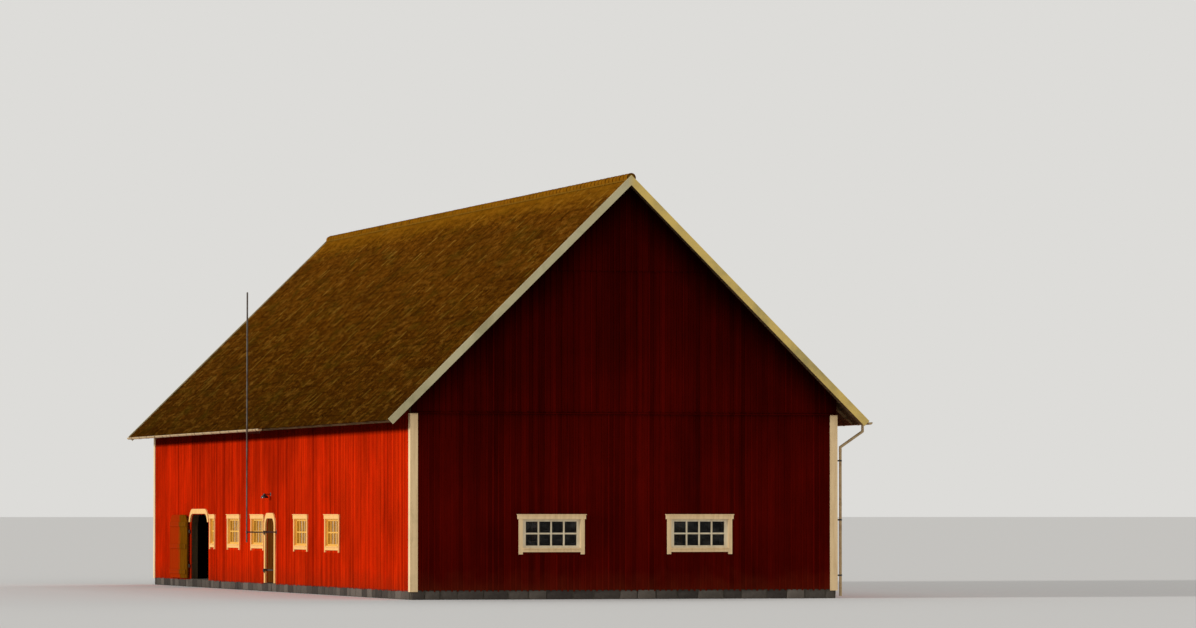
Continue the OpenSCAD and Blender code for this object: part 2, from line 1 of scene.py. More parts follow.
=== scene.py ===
# %% [markdown]
# A red timber barn, dressed in Blender.
# The barn's frame, walls, roof deck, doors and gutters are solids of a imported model. This script gives
# them their finish and adds what a carpenter and a tiler add last: battens over the board joints, clay
# tiles, glazing bars, door boards, footing stones and small ironwork. No solid is moved or reshaped.

# %% Load the frame
import math
import random

import bmesh
import bpy
import numpy as np
from mathutils import Matrix, Vector


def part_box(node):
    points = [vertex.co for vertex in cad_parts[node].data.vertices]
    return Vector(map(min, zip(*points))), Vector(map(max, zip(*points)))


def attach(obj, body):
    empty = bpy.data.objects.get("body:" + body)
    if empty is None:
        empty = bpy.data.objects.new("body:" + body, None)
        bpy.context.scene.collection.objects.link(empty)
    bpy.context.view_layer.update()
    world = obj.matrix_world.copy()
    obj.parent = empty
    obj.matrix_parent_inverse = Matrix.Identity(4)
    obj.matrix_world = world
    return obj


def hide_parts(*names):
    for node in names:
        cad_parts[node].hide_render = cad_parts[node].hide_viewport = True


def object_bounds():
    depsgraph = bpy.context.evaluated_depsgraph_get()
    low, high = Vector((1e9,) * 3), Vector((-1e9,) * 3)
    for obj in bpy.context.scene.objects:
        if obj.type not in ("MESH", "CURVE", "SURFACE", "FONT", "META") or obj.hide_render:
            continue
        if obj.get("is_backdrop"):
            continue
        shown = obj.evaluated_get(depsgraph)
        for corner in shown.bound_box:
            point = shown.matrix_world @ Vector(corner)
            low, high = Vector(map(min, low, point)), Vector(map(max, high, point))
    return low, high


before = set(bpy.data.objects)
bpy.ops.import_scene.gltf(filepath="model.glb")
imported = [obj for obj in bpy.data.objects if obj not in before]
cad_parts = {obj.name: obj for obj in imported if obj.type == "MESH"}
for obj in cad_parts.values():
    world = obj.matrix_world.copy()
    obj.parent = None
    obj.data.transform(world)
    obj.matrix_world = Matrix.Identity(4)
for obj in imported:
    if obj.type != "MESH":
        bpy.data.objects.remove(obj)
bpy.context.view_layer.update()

scene = bpy.context.scene

# %% [markdown]
# Every place in this file is worked out from the frame. The walls tell how wide and long the barn is,
# the barge boards tell where the roof's top is, and the roof's slope follows from the height of the
# eaves. Random draws start from a fixed number, which gives the same barn on each run.

# %% Main sizes
HALF_W = -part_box("west_wall_front")[0].x
HALF_L = -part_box("front_wall")[0].y
FLOOR_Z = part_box("floor_slab")[1].z
BELT_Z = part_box("front_wall")[1].z
APEX_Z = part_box("front_barge_boards")[1].z
EAVE_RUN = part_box("front_barge_boards")[1].x
# The eaves, and the foot of the gable's upper tier of boards, above the floor
EAVE_Z = FLOOR_Z + 4.54
TIER_Z = FLOOR_Z + 8.54
PITCH = math.atan2(APEX_Z - EAVE_Z, EAVE_RUN)
# The top of the roof deck and its underside, below the tiles' top and square to the slope
DECK_TOP = 0.060
DECK_LOW = 0.1305
BOARD_PITCH = 0.16
SEED = 8
draw = random.Random(SEED)
print("wall faces at", HALF_W, "and", HALF_L, "roof pitch", round(math.degrees(PITCH), 2))


def roof_z(x, depth):
    """Height at a distance x from the ridge line, so far below the tiles' top, square to the slope."""
    return APEX_Z - depth / math.cos(PITCH) - abs(x) * math.tan(PITCH)


# %% [markdown]
# The camera stands far off with a long lens, so the barn's lines hardly converge. Its place comes from
# the photo's own lines: the ridge and the eaves meet far to the left on the horizon, and the barn's
# width gives the distance. The picture is 1196 by 628 pixels.

# %% Camera
FRAME_WIDTH = 1196
FOCAL_PIXELS = 5750
EYE = (-41.99, -165.884, 2.25)
TURN_RIGHT = 15.531
TILT_UP = 2.002

lens = bpy.data.cameras.new("barn_view")
lens.sensor_width = 36
lens.lens = lens.sensor_width * FOCAL_PIXELS / FRAME_WIDTH
lens.clip_start = 1
lens.clip_end = 9000
camera = bpy.data.objects.new("barn_view", lens)
camera.location = EYE
camera.rotation_euler = (math.radians(90 + TILT_UP), 0, math.radians(-TURN_RIGHT))
scene.collection.objects.link(camera)
scene.camera = camera
scene.view_settings.view_transform = "Standard"
print("lens", round(lens.lens, 1), "mm")

# %% [markdown]
# Colours are written as sRGB hex, the way a paint shop gives them, and one function turns them into
# the linear numbers that the renderer works with. One small function adds any node with its settings
# and its links. Some sockets go by number: a Map Range takes its value as 0, the range that comes in
# as 1 and 2 and the one that goes out as 3 and 4, and a Mix takes its share as 0, and then numbers as
# 2 and 3 or colours as 6 and 7. Patterns are sized in millimetres of the real surface.

# %% Colours and sizes of patterns


def linear(hex_code):
    """An sRGB hex colour as linear red, green, blue and alpha."""
    parts = [int(hex_code[i:i + 2], 16) / 255 for i in (1, 3, 5)]
    return tuple(c / 12.92 if c <= 0.04045 else ((c + 0.055) / 1.055) ** 2.4 for c in parts) + (1.0,)


def per_metre(*sizes_mm):
    """How many patches of each size fit in a metre."""
    return [1000 / size for size in sizes_mm]


print("the grey #808080 in linear numbers:", linear("#808080"))

# %% Nodes and finishes
MIX = {"data_type": "RGBA", "blend_type": "MIX"}
TINT = {"data_type": "RGBA", "blend_type": "MULTIPLY"}
TIMES = {"operation": "MULTIPLY"}
TIMES_PLUS = {"operation": "MULTIPLY_ADD"}


def feed(tree, node, inputs):
    """Sets a node's inputs. Each is a value, a socket, or a node whose first live output is meant."""
    for key, value in inputs.items():
        if isinstance(value, bpy.types.Node):
            value = next(socket for socket in value.outputs if socket.enabled)
        if isinstance(value, bpy.types.NodeSocket):
            tree.links.new(value, node.inputs[key])
        else:
            node.inputs[key].default_value = value


def add(tree, kind, settings=None, inputs=None):
    """Adds a node with its settings and its inputs. A setting named stops fills a colour ramp."""
    made = tree.nodes.new("ShaderNode" + kind)
    for key, value in (settings or {}).items():
        if key == "stops":
            ramp = made.color_ramp
            ramp.elements.remove(ramp.elements[-1])
            ramp.elements[0].position, ramp.elements[0].color = value[0][0], linear(value[0][1])
            for position, code in value[1:]:
                ramp.elements.new(position).color = linear(code)
        else:
            setattr(made, key, value)
    feed(tree, made, inputs or {})
    return made


def new_finish(name, colour, roughness, metallic=0.0, gloss=0.5):
    """A material with its node tree, its shader and the object coordinates, in metres."""
    material = bpy.data.materials.new(name)
    material.use_nodes = True
    tree = material.node_tree
    shader = tree.nodes["Principled BSDF"]
    feed(tree, shader, {"Base Color": linear(colour), "Roughness": roughness, "Metallic": metallic,
                        "Specular IOR Level": gloss})
    place = add(tree, "TexCoord").outputs["Object"]
    return material, tree, shader, place


# %% [markdown]
# The walls are sawn boards under red distemper, an iron-oxide paint cooked with flour and oil. It dries
# dead matt and lets the grain through, so the finish has no gloss at all and its colour changes from
# board to board. The one red paint is given twice: the long sides carry painted sunlight, a bright
# orange red, and the ends carry painted shade, a deep ox-blood red. A picture of boards would be sharp
# at one distance only, so the boards are counted along the wall and a white noise gives each its tone.
# Battens carry their tone themselves, as a number on their points. Inside, the same solid shows raw
# timber.

# %% Weather and painted shade on red distemper
# Grain, clouds of sun and rain, and long dark runs of water: the patch across, through and up in
# millimetres, the noise's detail, the noise from and to, and the shade from and to
WEATHER = (((70, 70, 1300), 6, 0.30, 0.72, 0.82, 1.12),
           ((1500, 1500, 2600), 4, 0.35, 0.65, 0.80, 1.16),
           ((260, 260, 5000), 4, 0.56, 0.72, 1.00, 0.70))
# Bands of painted shade up the wall: from a height to a height, and the shade from and to. A narrow band
# under the eaves is the painted shadow of the eaves, and the gable's painted shade deepens towards the apex
EAVE_SHADOW_BANDS = ((EAVE_Z - 0.37, EAVE_Z - 0.25, 1.0, 0.25),)
GABLE_SHADE_BANDS = ((BELT_Z - 1.5, APEX_Z, 1.0, 0.5),)
# Bands of painted shadow by depth below the roof's slope, darkest right under the verge on the gable
VERGE_SHADOW_BANDS = ((0.35, 1.4, 0.20, 0.72), (1.4, 5.0, 1.00, 1.39))


def weather_and_painted_shade(tree, place, axes, by_height, by_depth):
    """How much weather darkens the paint, with the bands of painted shade, and the noise of its grain."""
    shade, noises = 1.0, []
    for sizes, detail, low, high, first, last in WEATHER:
        patches = add(tree, "Mapping", inputs={"Vector": place, "Scale": per_metre(*sizes)})
        noises.append(add(tree, "TexNoise", {}, {"Vector": patches, "Scale": 1.0, "Detail": detail,
                                                 "Roughness": 0.6}))
        layer = add(tree, "MapRange", {}, {0: noises[-1], 1: low, 2: high, 3: first, 4: last})
        shade = add(tree, "Math", TIMES, {0: shade, 1: layer})
    aside = add(tree, "Math", {"operation": "ABSOLUTE"}, {0: axes.outputs["X"]})
    slope = add(tree, "Math", TIMES_PLUS, {0: aside, 1: -math.tan(PITCH), 2: APEX_Z})
    below = add(tree, "Math", {"operation": "SUBTRACT"}, {0: slope, 1: axes.outputs["Z"]})
    for level, bands in ((axes.outputs["Z"], by_height), (below, by_depth)):
        for low, high, first, last in bands:
            layer = add(tree, "MapRange", {}, {0: level, 1: low, 2: high, 3: first, 4: last})
            shade = add(tree, "Math", TIMES, {0: shade, 1: layer})
    return shade, noises[0]


# %% Soil on the paint and raw timber behind it
SPLASH_MM = 400
SPLASH_RISE = 0.9
SOIL_FULL = FLOOR_Z - 0.55
SOIL_NONE = FLOOR_Z + 0.1
PAINT_SKIN = 0.03


def soiled(tree, place, axes, colour):
    """Earth that rain splashes onto the lowest boards, up to a ragged line."""
    splash = add(tree, "TexNoise", {}, {"Vector": place, "Scale": 1000 / SPLASH_MM, "Detail": 4})
    reach = add(tree, "Math", TIMES_PLUS, {0: splash, 1: -SPLASH_RISE, 2: axes.outputs["Z"]})
    share = add(tree, "MapRange", {}, {0: reach, 1: SOIL_FULL, 2: SOIL_NONE, 3: 0.32, 4: 0.0})
    return add(tree, "Mix", MIX, {0: share, 6: colour, 7: linear("#6e2a14")})


def raw_inside(tree, across, face, grain, colour):
    """Keeps the paint to a solid wall's outer skin. The rest of the wall is raw timber."""
    depth = add(tree, "Math", {"operation": "ABSOLUTE"}, {0: across})
    outer = add(tree, "Math", {"operation": "GREATER_THAN"}, {0: depth, 1: face - PAINT_SKIN})
    raw = add(tree, "ValToRGB", {"stops": [(0.3, "#3c2e20"), (0.7, "#574630")]}, {"Fac": grain})
    return add(tree, "Mix", MIX, {0: outer, 6: raw, 7: colour})


# %% Red distemper
# The long sides' palette is painted sunlight and the ends' palette is painted shade, over one red paint
SUNLIT_SIDE_RED = ("#b02104", "#c32704", "#d02c04", "#dd3507")
SHADED_END_RED = ("#450502", "#4d0602", "#530702", "#5a0803")


def red_distemper(name, palette, by_height, by_depth=(), boards=None):
    """Paint in four tones, soaked to bleached. boards tells how a solid's boards lie: the axis that
    counts them, the axis through the wall, and how far out its face is."""
    material, tree, shader, place = new_finish(name, palette[2], 0.95, gloss=0.0)
    axes = add(tree, "SeparateXYZ", inputs={"Vector": place})
    if boards:
        number = add(tree, "Math", {"operation": "DIVIDE"}, {0: axes.outputs[boards[0]], 1: BOARD_PITCH})
        board = add(tree, "Math", {"operation": "FLOOR"}, {0: number})
        tone = add(tree, "TexWhiteNoise", {"noise_dimensions": "1D"}, {"W": board})
    else:
        tone = add(tree, "Attribute", {"attribute_name": "tone"}).outputs["Fac"]
    paint = add(tree, "ValToRGB", {"stops": list(zip((0.0, 0.3, 0.7, 1.0), palette))}, {"Fac": tone})
    shade, grain = weather_and_painted_shade(tree, place, axes, by_height, by_depth)
    colour = add(tree, "Mix", TINT, {0: 1.0, 6: paint, 7: shade})
    colour = soiled(tree, place, axes, colour)
    if boards:
        colour = raw_inside(tree, axes.outputs[boards[1]], boards[2], grain, colour)
    relief = add(tree, "Bump", inputs={"Height": grain, "Distance": 0.004})
    feed(tree, shader, {"Base Color": colour, "Normal": relief})
    return material


red_side = red_distemper("red_distemper_painted_sunlit_sides", SUNLIT_SIDE_RED, EAVE_SHADOW_BANDS, boards=("Y", "X", HALF_W))
red_end = red_distemper("red_distemper_painted_shade_ends", SHADED_END_RED, GABLE_SHADE_BANDS, VERGE_SHADOW_BANDS, ("X", "Y", HALF_L))
red_side_strip = red_distemper("red_distemper_painted_sunlit_side_battens", SUNLIT_SIDE_RED, EAVE_SHADOW_BANDS)
red_end_strip = red_distemper("red_distemper_painted_shade_end_battens", SHADED_END_RED, GABLE_SHADE_BANDS, VERGE_SHADOW_BANDS)
print("red finishes:", red_side.name, red_end.name, red_side_strip.name, red_end_strip.name)

# %% [markdown]
# Trim is planed pine under white linseed-oil paint that has yellowed. It keeps a faint sheen, chalks in
# streaks, collects grey dirt and turns green with algae where it stays damp. On the long sides it is
# yellowed cream with painted warm sunlight over it, which turns it orange, and the sashes there are
# gold with painted sunlight. The barge boards are greyer on the west half and gold on the east half, and
# their streaks run down the slope.

# %% White oil paint
ALGAE_MM = 1100


def white_oil_paint(name, west, east, grime, algae, algae_from, run_mm):
    """Old oil paint: its colour on either half of the barn, its dirt and where algae starts."""
    material, tree, shader, place = new_finish(name, west, 0.6, gloss=0.3)
    axes = add(tree, "SeparateXYZ", inputs={"Vector": place})
    half = add(tree, "MapRange", {}, {0: axes.outputs["X"], 1: -0.1, 2: 0.1, 3: 0.0, 4: 1.0})
    paint = add(tree, "Mix", MIX, {0: half, 6: linear(west), 7: linear(east)})
    lengths = add(tree, "Mapping", inputs={"Vector": place, "Scale": per_metre(*run_mm)})
    runs = add(tree, "TexNoise", {}, {"Vector": lengths, "Scale": 1.0, "Detail": 6, "Roughness": 0.65})
    dirt = add(tree, "MapRange", {}, {0: runs, 1: 0.44, 2: 0.78, 3: 0.0, 4: 0.55})
    dirty = add(tree, "Mix", MIX, {0: dirt, 6: paint, 7: linear(grime)})
    patch = add(tree, "TexNoise", {}, {"Vector": place, "Scale": 1000 / ALGAE_MM, "Detail": 5,
                                       "Roughness": 0.6})
    green = add(tree, "MapRange", {}, {0: patch, 1: algae_from, 2: algae_from + 0.23, 3: 0.0, 4: 0.7})
    colour = add(tree, "Mix", MIX, {0: green, 6: dirty, 7: linear(algae)})
    relief = add(tree, "Bump", inputs={"Height": runs, "Distance": 0.002})
    feed(tree, shader, {"Base Color": colour, "Normal": relief})
    return material


trim_white = white_oil_paint("white_oil_paint", "#f0cf9c", "#f0cf9c", "#b8915f", "#a99a6a", 0.60,
                             (100, 100, 1300))
# Long sides: yellowed cream paint with painted warm sunlight, and gold sashes with painted sunlight
side_white = white_oil_paint("yellowed_oil_paint_painted_sunlight", "#f4bd6d", "#f4bd6d", "#c08a42", "#b0904c", 0.62,
                             (100, 100, 900))
side_sash = white_oil_paint("sash_paint_painted_sunlight", "#eab045", "#eab045", "#b68428", "#a68a38", 0.62,
                            (110, 110, 330))
sash_white = white_oil_paint("white_sash_paint", "#e3d3b2", "#e3d3b2", "#b39c74", "#a9a07a", 0.62,
                             (110, 110, 330))
barge_white = white_oil_paint("weathered_barge_paint", "#c4b990", "#dfbf68", "#988658", "#858158", 0.50,
                              (1100, 110, 1100))
print("white finishes:", trim_white.name, side_white.name, side_sash.name, sash_white.name,
      barge_white.name)

# %% [markdown]
# Timber that was never painted turns from yellow to brown. Its grain is noise drawn out along each
# timber's length: posts and beams run different ways, so the finish takes the size of a streak along
# each axis. Door boards were tarred, and the big leaf has faded from olive brown to red brown towards
# its free edge, where hands and weather reach it.

# %% Raw and tarred timber
RAW_TONES = ("#4b3824", "#6d5438", "#8d7450")


def sawn_timber(name, tones, streak_mm, roughness=0.85):
    """Sawn timber in three tones, from dark to pale. Returns its parts too, for a finish over it."""
    material, tree, shader, place = new_finish(name, tones[1], roughness, gloss=0.0)
    lengths = add(tree, "Mapping", inputs={"Vector": place, "Scale": per_metre(*streak_mm)})
    grain = add(tree, "TexNoise", {}, {"Vector": lengths, "Scale": 1.0, "Detail": 8, "Roughness": 0.65,
                                       "Distortion": 0.4})
    colour = add(tree, "ValToRGB", {"stops": list(zip((0.32, 0.5, 0.7), tones))}, {"Fac": grain})
    relief = add(tree, "Bump", inputs={"Height": grain, "Distance": 0.004})
    feed(tree, shader, {"Base Color": colour, "Normal": relief})
    return material, tree, shader, place, colour


cross_timber = sawn_timber("raw_timber_across", RAW_TONES, (760, 50, 50))[0]
long_timber = sawn_timber("raw_timber_along", RAW_TONES, (50, 760, 50))[0]
deck_boards = sawn_timber("roof_boarding", ("#33261a", "#4d3a27", "#685038"), (60, 650, 60))[0]
small_door_tar = sawn_timber("tarred_door_boards", ("#391d05", "#532b0a", "#693b13"), (60, 60, 800))[0]

# %% Faded tar on the big leaf
OLIVE_REACH = 1.15
RAGGED = 1.6
TAR_TONES = ("#472803", "#643b05", "#7f500c")
leaf_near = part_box("big_door_leaf")[0].y
leaf_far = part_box("big_door_leaf")[1].y
turn_y = leaf_near + OLIVE_REACH + RAGGED / 2
big_door_tar, tree, shader, place, tarred = sawn_timber("faded_tar_boards", TAR_TONES, (60, 60, 800))
axes = add(tree, "SeparateXYZ", inputs={"Vector": place})
lengths = add(tree, "Mapping", inputs={"Vector": place, "Scale": per_metre(300, 300, 700)})
patch = add(tree, "TexNoise", {}, {"Vector": lengths, "Scale": 1.0, "Detail": 8, "Roughness": 0.7})
along = add(tree, "Math", TIMES_PLUS, {0: patch, 1: RAGGED, 2: axes.outputs["Y"]})
share = add(tree, "MapRange", {}, {0: along, 1: turn_y - 0.12, 2: turn_y + 0.2, 3: 0.0, 4: 0.85})
worn = add(tree, "Mix", MIX, {0: share, 6: tarred, 7: linear("#a02605")})
feed(tree, shader, {"Base Color": worn})
print("timber finishes done, big leaf from", round(leaf_near, 2), "to", round(leaf_far, 2))

# %% [markdown]
# The roof is old hand-made clay tile. Fired clay runs from orange to dark brown from tile to tile, and
# a century outdoors adds soot, pale lichen and golden crusts near the ridge, where birds sit and the
# sun is longest. Each tile's tone is a number on its points: most are close, a few are much paler.
# Lichen, moss and soot are noise in millimetres across them, four times as long along the roof as down
# it, because they creep along the courses where water lingers, and ignore the joints.

# %% Clay tile
CLAY_TONES = [(0.0, "#2c1601"), (0.3, "#442403"), (0.6, "#532e06"), (0.85, "#5f380a"), (1.0, "#6d4c17")]
CRUST_MM = (110, 400, 110)
tile_clay, tree, shader, place = new_finish("old_clay_tile", "#4b2d0b", 0.95, gloss=0.0)
axes = add(tree, "SeparateXYZ", inputs={"Vector": place})
tone = add(tree, "Attribute", {"attribute_name": "tone"}).outputs["Fac"]
fired = add(tree, "ValToRGB", {"stops": CLAY_TONES}, {"Fac": tone})
crust_size = add(tree, "Mapping", inputs={"Vector": place, "Scale": per_metre(*CRUST_MM)})
speckle = add(tree, "TexNoise", {}, {"Vector": crust_size, "Scale": 1.0, "Detail": 5, "Roughness": 0.6})
mottle = add(tree, "MapRange", {}, {0: speckle, 1: 0.32, 2: 0.68, 3: 0.60, 4: 1.40})
height = add(tree, "MapRange", {}, {0: axes.outputs["Z"], 1: EAVE_Z, 2: APEX_Z, 3: 0.56, 4: 1.32})
shade = add(tree, "Math", TIMES, {0: mottle, 1: height})
clay = add(tree, "Mix", TINT, {0: 1.0, 6: fired, 7: shade})
relief = add(tree, "Bump", inputs={"Height": speckle, "Distance": 0.004})

# %% Crusts on the clay
# How many times larger than the speckle, the noise from and to, the most that it covers, its colour
CRUSTS = {"lichen": (2.0, 0.52, 0.68, 0.45, "#7d541b"),
          "moss": (5.0, 0.50, 0.68, 0.45, "#3c3006"),
          "soot": (9.0, 0.50, 0.74, 0.45, "#2c1603")}
GOLD_RAGGED = 1.4
grown = {}
for name, (larger, low, high, most, crust_colour) in CRUSTS.items():
    grown[name] = add(tree, "TexNoise", {}, {"Vector": crust_size, "Scale": 1 / larger, "Detail": 7,
                                             "Roughness": 0.66})
    share = add(tree, "MapRange", {}, {0: grown[name], 1: low, 2: high, 3: 0.0, 4: most})
    clay = add(tree, "Mix", MIX, {0: share, 6: clay, 7: linear(crust_colour)})
crust = add(tree, "Math", TIMES_PLUS, {0: grown["lichen"], 1: GOLD_RAGGED, 2: axes.outputs["Z"]})
gold = add(tree, "MapRange", {}, {0: crust, 1: APEX_Z - 0.1, 2: APEX_Z + 0.75, 3: 0.0, 4: 0.7})
clay = add(tree, "Mix", MIX, {0: gold, 6: clay, 7: linear("#8e5c0c")})
feed(tree, shader, {"Base Color": clay, "Normal": relief})
print("tile finish:", tile_clay.name, len(tree.nodes), "nodes")

# %% [markdown]
# Stone, mortar and concrete are grains of a few tones, so one function covers them with noise of each
# one's own grain size. The footing's stones differ from one another, so part of their tone is a number
# on their points, like the tiles'. None of them shines.

# %% Stone, mortar and concrete


def mineral(name, stops, grain_mm, relief_m, own_tone=0.0):
    """A ramp of tones over noise. own_tone is the share that comes from the piece's own tone."""
    material, tree, shader, place = new_finish(name, stops[0][1], 0.95, gloss=0.0)
    grains = add(tree, "TexNoise", {}, {"Vector": place, "Scale": 1000 / grain_mm, "Detail": 9,
                                        "Roughness": 0.7})
    tone = add(tree, "Attribute", {"attribute_name": "tone"}).outputs["Fac"]
    level = add(tree, "Mix", {"data_type": "FLOAT"}, {0: own_tone, 2: grains, 3: tone})
    colour = add(tree, "ValToRGB", {"stops": stops}, {"Fac": level})
    relief = add(tree, "Bump", inputs={"Height": grains, "Distance": relief_m})
    feed(tree, shader, {"Base Color": colour, "Normal": relief})
    return material


ridge_mortar = mineral("mossy_lime_mortar", [(0.35, "#66440d"), (0.6, "#7d5616")], 125, 0.006)
fieldstone = mineral("granite_fieldstone", [(0.2, "#3d3733"), (0.5, "#544d46"), (0.8, "#6b6259")], 90, 0.010,
                     0.55)
footing_mortar = mineral("footing_mortar", [(0.35, "#3f3931"), (0.65, "#565046")], 80, 0.004)
floor_concrete = mineral("worn_concrete", [(0.35, "#6b675f"), (0.65, "#8b877d")], 330, 0.003)
print("mineral finishes:", ridge_mortar.name, fieldstone.name, footing_mortar.name, floor_concrete.name)

# %% [markdown]
# The metals are few: black forged iron on the doors, painted steel gutters with rust at their seams,
# black enamel on the lamp, and a galvanised mast gone dull. Each has a coat and what shows where the
# coat has worn, split by noise. Only bare metal is metallic, because paint hides the metal under it.

# %% Metal finishes


def worn_coat(name, coat, wear, wear_from, roughness, metallic=0.0, patch_mm=220):
    """A coat with wear that starts where the noise passes wear_from."""
    material, tree, shader, place = new_finish(name, coat, roughness, metallic)
    rub = add(tree, "TexNoise", {}, {"Vector": place, "Scale": 1000 / patch_mm, "Detail": 8,
                                     "Roughness": 0.7})
    share = add(tree, "MapRange", {}, {0: rub, 1: wear_from, 2: wear_from + 0.2, 3: 0.0, 4: 0.85})
    colour = add(tree, "Mix", MIX, {0: share, 6: linear(coat), 7: linear(wear)})
    rough = add(tree, "MapRange", {}, {0: share, 1: 0.0, 2: 1.0, 3: roughness, 4: 0.9})
    relief = add(tree, "Bump", inputs={"Height": rub, "Distance": 0.001})
    feed(tree, shader, {"Base Color": colour, "Roughness": rough, "Normal": relief})
    return material


forged_iron = worn_coat("forged_iron", "#2b2724", "#5e3a24", 0.50, 0.6, 0.4)
gutter_sheet = worn_coat("painted_gutter_sheet", "#b3986c", "#75502a", 0.50, 0.6)
lamp_enamel = worn_coat("black_enamel", "#17181a", "#3a2a20", 0.60, 0.3)
mast_steel = worn_coat("dull_galvanised_steel", "#5a544c", "#4a2a1a", 0.46, 0.6, 0.35, 350)
print("materials made:", len(bpy.data.materials))

# %% [markdown]
# Old window glass is drawn glass, a little green and never quite flat. It lets light through, shows the
# dark room behind it and mirrors the pale surroundings at a low angle. The panes on the long sides have
# a film of dust whose gold is partly a painted reflection of warm evening light, so they pass less light and
# show gold of their own.
# The end panes have a low index, so that they mirror little and look as dark as the room behind them.
# A slow wave in the normal gives the wobble of old panes.

# %% Window glass
WAVE_MM = 330
DUST_MM = 160


def drawn_glass(name, colour, clear, index):
    """Old glass: clear is the share of light that it lets through, and the rest is dust on it."""
    material, tree, shader, place = new_finish(name, colour, 0.05, gloss=0.4)
    wave = add(tree, "TexNoise", {}, {"Vector": place, "Scale": 1000 / WAVE_MM, "Detail": 1})
    relief = add(tree, "Bump", inputs={"Height": wave, "Distance": 0.006, "Strength": 0.4})
    feed(tree, shader, {"Transmission Weight": clear, "IOR": index, "Normal": relief})
    return material, tree, shader, place


window_glass = drawn_glass("clear_window_glass", "#8a8060", 1.0, 1.22)[0]
# Dust on the long sides' panes, its gold partly a painted reflection of warm light
glass_dust_and_painted_reflection, tree, shader, place = drawn_glass("window_glass_dust_and_painted_reflection", "#a87a2c", 0.25, 1.5)
film = add(tree, "TexNoise", {}, {"Vector": place, "Scale": 1000 / DUST_MM, "Detail": 5, "Roughness": 0.65})
dust = add(tree, "ValToRGB", {"stops": [(0.35, "#8f6214"), (0.65, "#c48a28")]}, {"Fac": film})
feed(tree, shader, {"Base Color": dust})
print("glass finishes:", window_glass.name, glass_dust_and_painted_reflection.name)

# %% [markdown]
# The finishes now go onto the CAD nodes. A node keeps its mesh untouched: only its material list
# changes.

# %% Finish the CAD nodes
NODES_OF = (
    (footing_mortar, "foundation"), (floor_concrete, "floor_slab"),
    (red_side, "west_wall_front west_wall_middle west_wall_rear west_wall_over_small_door"
               " west_wall_over_big_door east_wall"),
    (red_end, "front_wall rear_wall front_gable rear_gable drip_boards"),
    (trim_white, "corner_boards gable_window_casings"),
    (barge_white, "front_barge_boards rear_barge_boards"),
    (side_white, "west_window_casings east_window_casings big_door_head_trim small_door_surround"),
    (side_sash, "west_window_sashes east_window_sashes"), (sash_white, "gable_window_sashes"),
    (glass_dust_and_painted_reflection, "west_window_glass east_window_glass"), (window_glass, "gable_window_glass"),
    (long_timber, "wall_plates"),
    (cross_timber, "tie_beams collar_ties west_rafters east_rafters rafter_tails"),
    (deck_boards, "west_roof_deck east_roof_deck"), (tile_clay, "ridge_tiles"),
    (big_door_tar, "big_door_leaf"), (small_door_tar, "small_door_leaf"),
    (forged_iron, "big_door_pintles small_door_pintles small_door_latch gutter_brackets downpipe_clips"),
    (gutter_sheet, "west_gutter east_gutter downpipe"),
    (lamp_enamel, "wall_lamp"), (mast_steel, "mast mast_brackets"),
)
NODE_FINISH = {name: finish for finish, names in NODES_OF for name in names.split()}
for name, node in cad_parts.items():
    node.data.materials.clear()
    node.data.materials.append(NODE_FINISH[name])
print("finished CAD nodes:", len(NODE_FINISH))

# %% [markdown]
# Many pieces sit on a window, a rafter or a doorway, so the script asks the frame where each solid of a
# node is. A copy of the node's mesh has its doubles merged, and each connected part gives one box.
# The walls also get a matrix each: in a wall's own space X runs along it to the right, Z up, and -Y
# points out of the wall, with the wall's face at Y = 0.

# %% Where things are


def solid_boxes(node_name):
    """The lowest and highest corner of each separate solid of a CAD node."""
    bm = bmesh.new()
    bm.from_mesh(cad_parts[node_name].data)
    bmesh.ops.remove_doubles(bm, verts=bm.verts, dist=1e-5)
    unseen = set(bm.verts)
    boxes = []
    while unseen:
        first = unseen.pop()
        group, rim = [first], [first]
        while rim:
            vert = rim.pop()
            near = {edge.other_vert(vert) for edge in vert.link_edges} & unseen
            unseen -= near
            group.extend(near)
            rim.extend(near)
        corners = np.array([v.co for v in group])
        boxes.append((Vector(corners.min(0)), Vector(corners.max(0))))
    bm.free()
    return sorted(boxes, key=lambda box: tuple(box[0]))


WALLS = {"front": Matrix.Translation((0, -HALF_L, 0)),
         "rear": Matrix.Rotation(math.pi, 4, "Z") @ Matrix.Translation((0, -HALF_L, 0)),
         "west": Matrix.Rotation(-math.pi / 2, 4, "Z") @ Matrix.Translation((0, -HALF_W, 0)),
         "east": Matrix.Rotation(math.pi / 2, 4, "Z") @ Matrix.Translation((0, -HALF_W, 0))}
NEAR_WALL = 1.5


def boxes_on_wall(wall, node_name):
    """Boxes of a node's solids in the wall's own space, only those at that wall."""
    back = WALLS[wall].inverted()
    found = []
    for low, high in solid_boxes(node_name):
        a, b = back @ low, back @ high
        near = Vector((min(a.x, b.x), min(a.y, b.y), low.z))
        far = Vector((max(a.x, b.x), max(a.y, b.y), high.z))
        if abs(far.y) < NEAR_WALL or abs(near.y) < NEAR_WALL:
            found.append((near, far))
    return found


west_casings = boxes_on_wall("west", "west_window_casings")
east_casings = boxes_on_wall("east", "east_window_casings")
front_casings = boxes_on_wall("front", "gable_window_casings")
rear_casings = boxes_on_wall("rear", "gable_window_casings")
print("casing boards:", len(west_casings), len(east_casings), len(front_casings), len(rear_casings))

# %% [markdown]
# A few short helpers make pieces. One adds a box to a bmesh, one turns a bmesh into a piece that rides
# on a CAD body, one gives each point its tone, and one rounds worn edges with a Bevel modifier and
# bakes it, which keeps the tones. A piece's mesh holds its place, and its object stays at the origin.

# %% Boxes and pieces


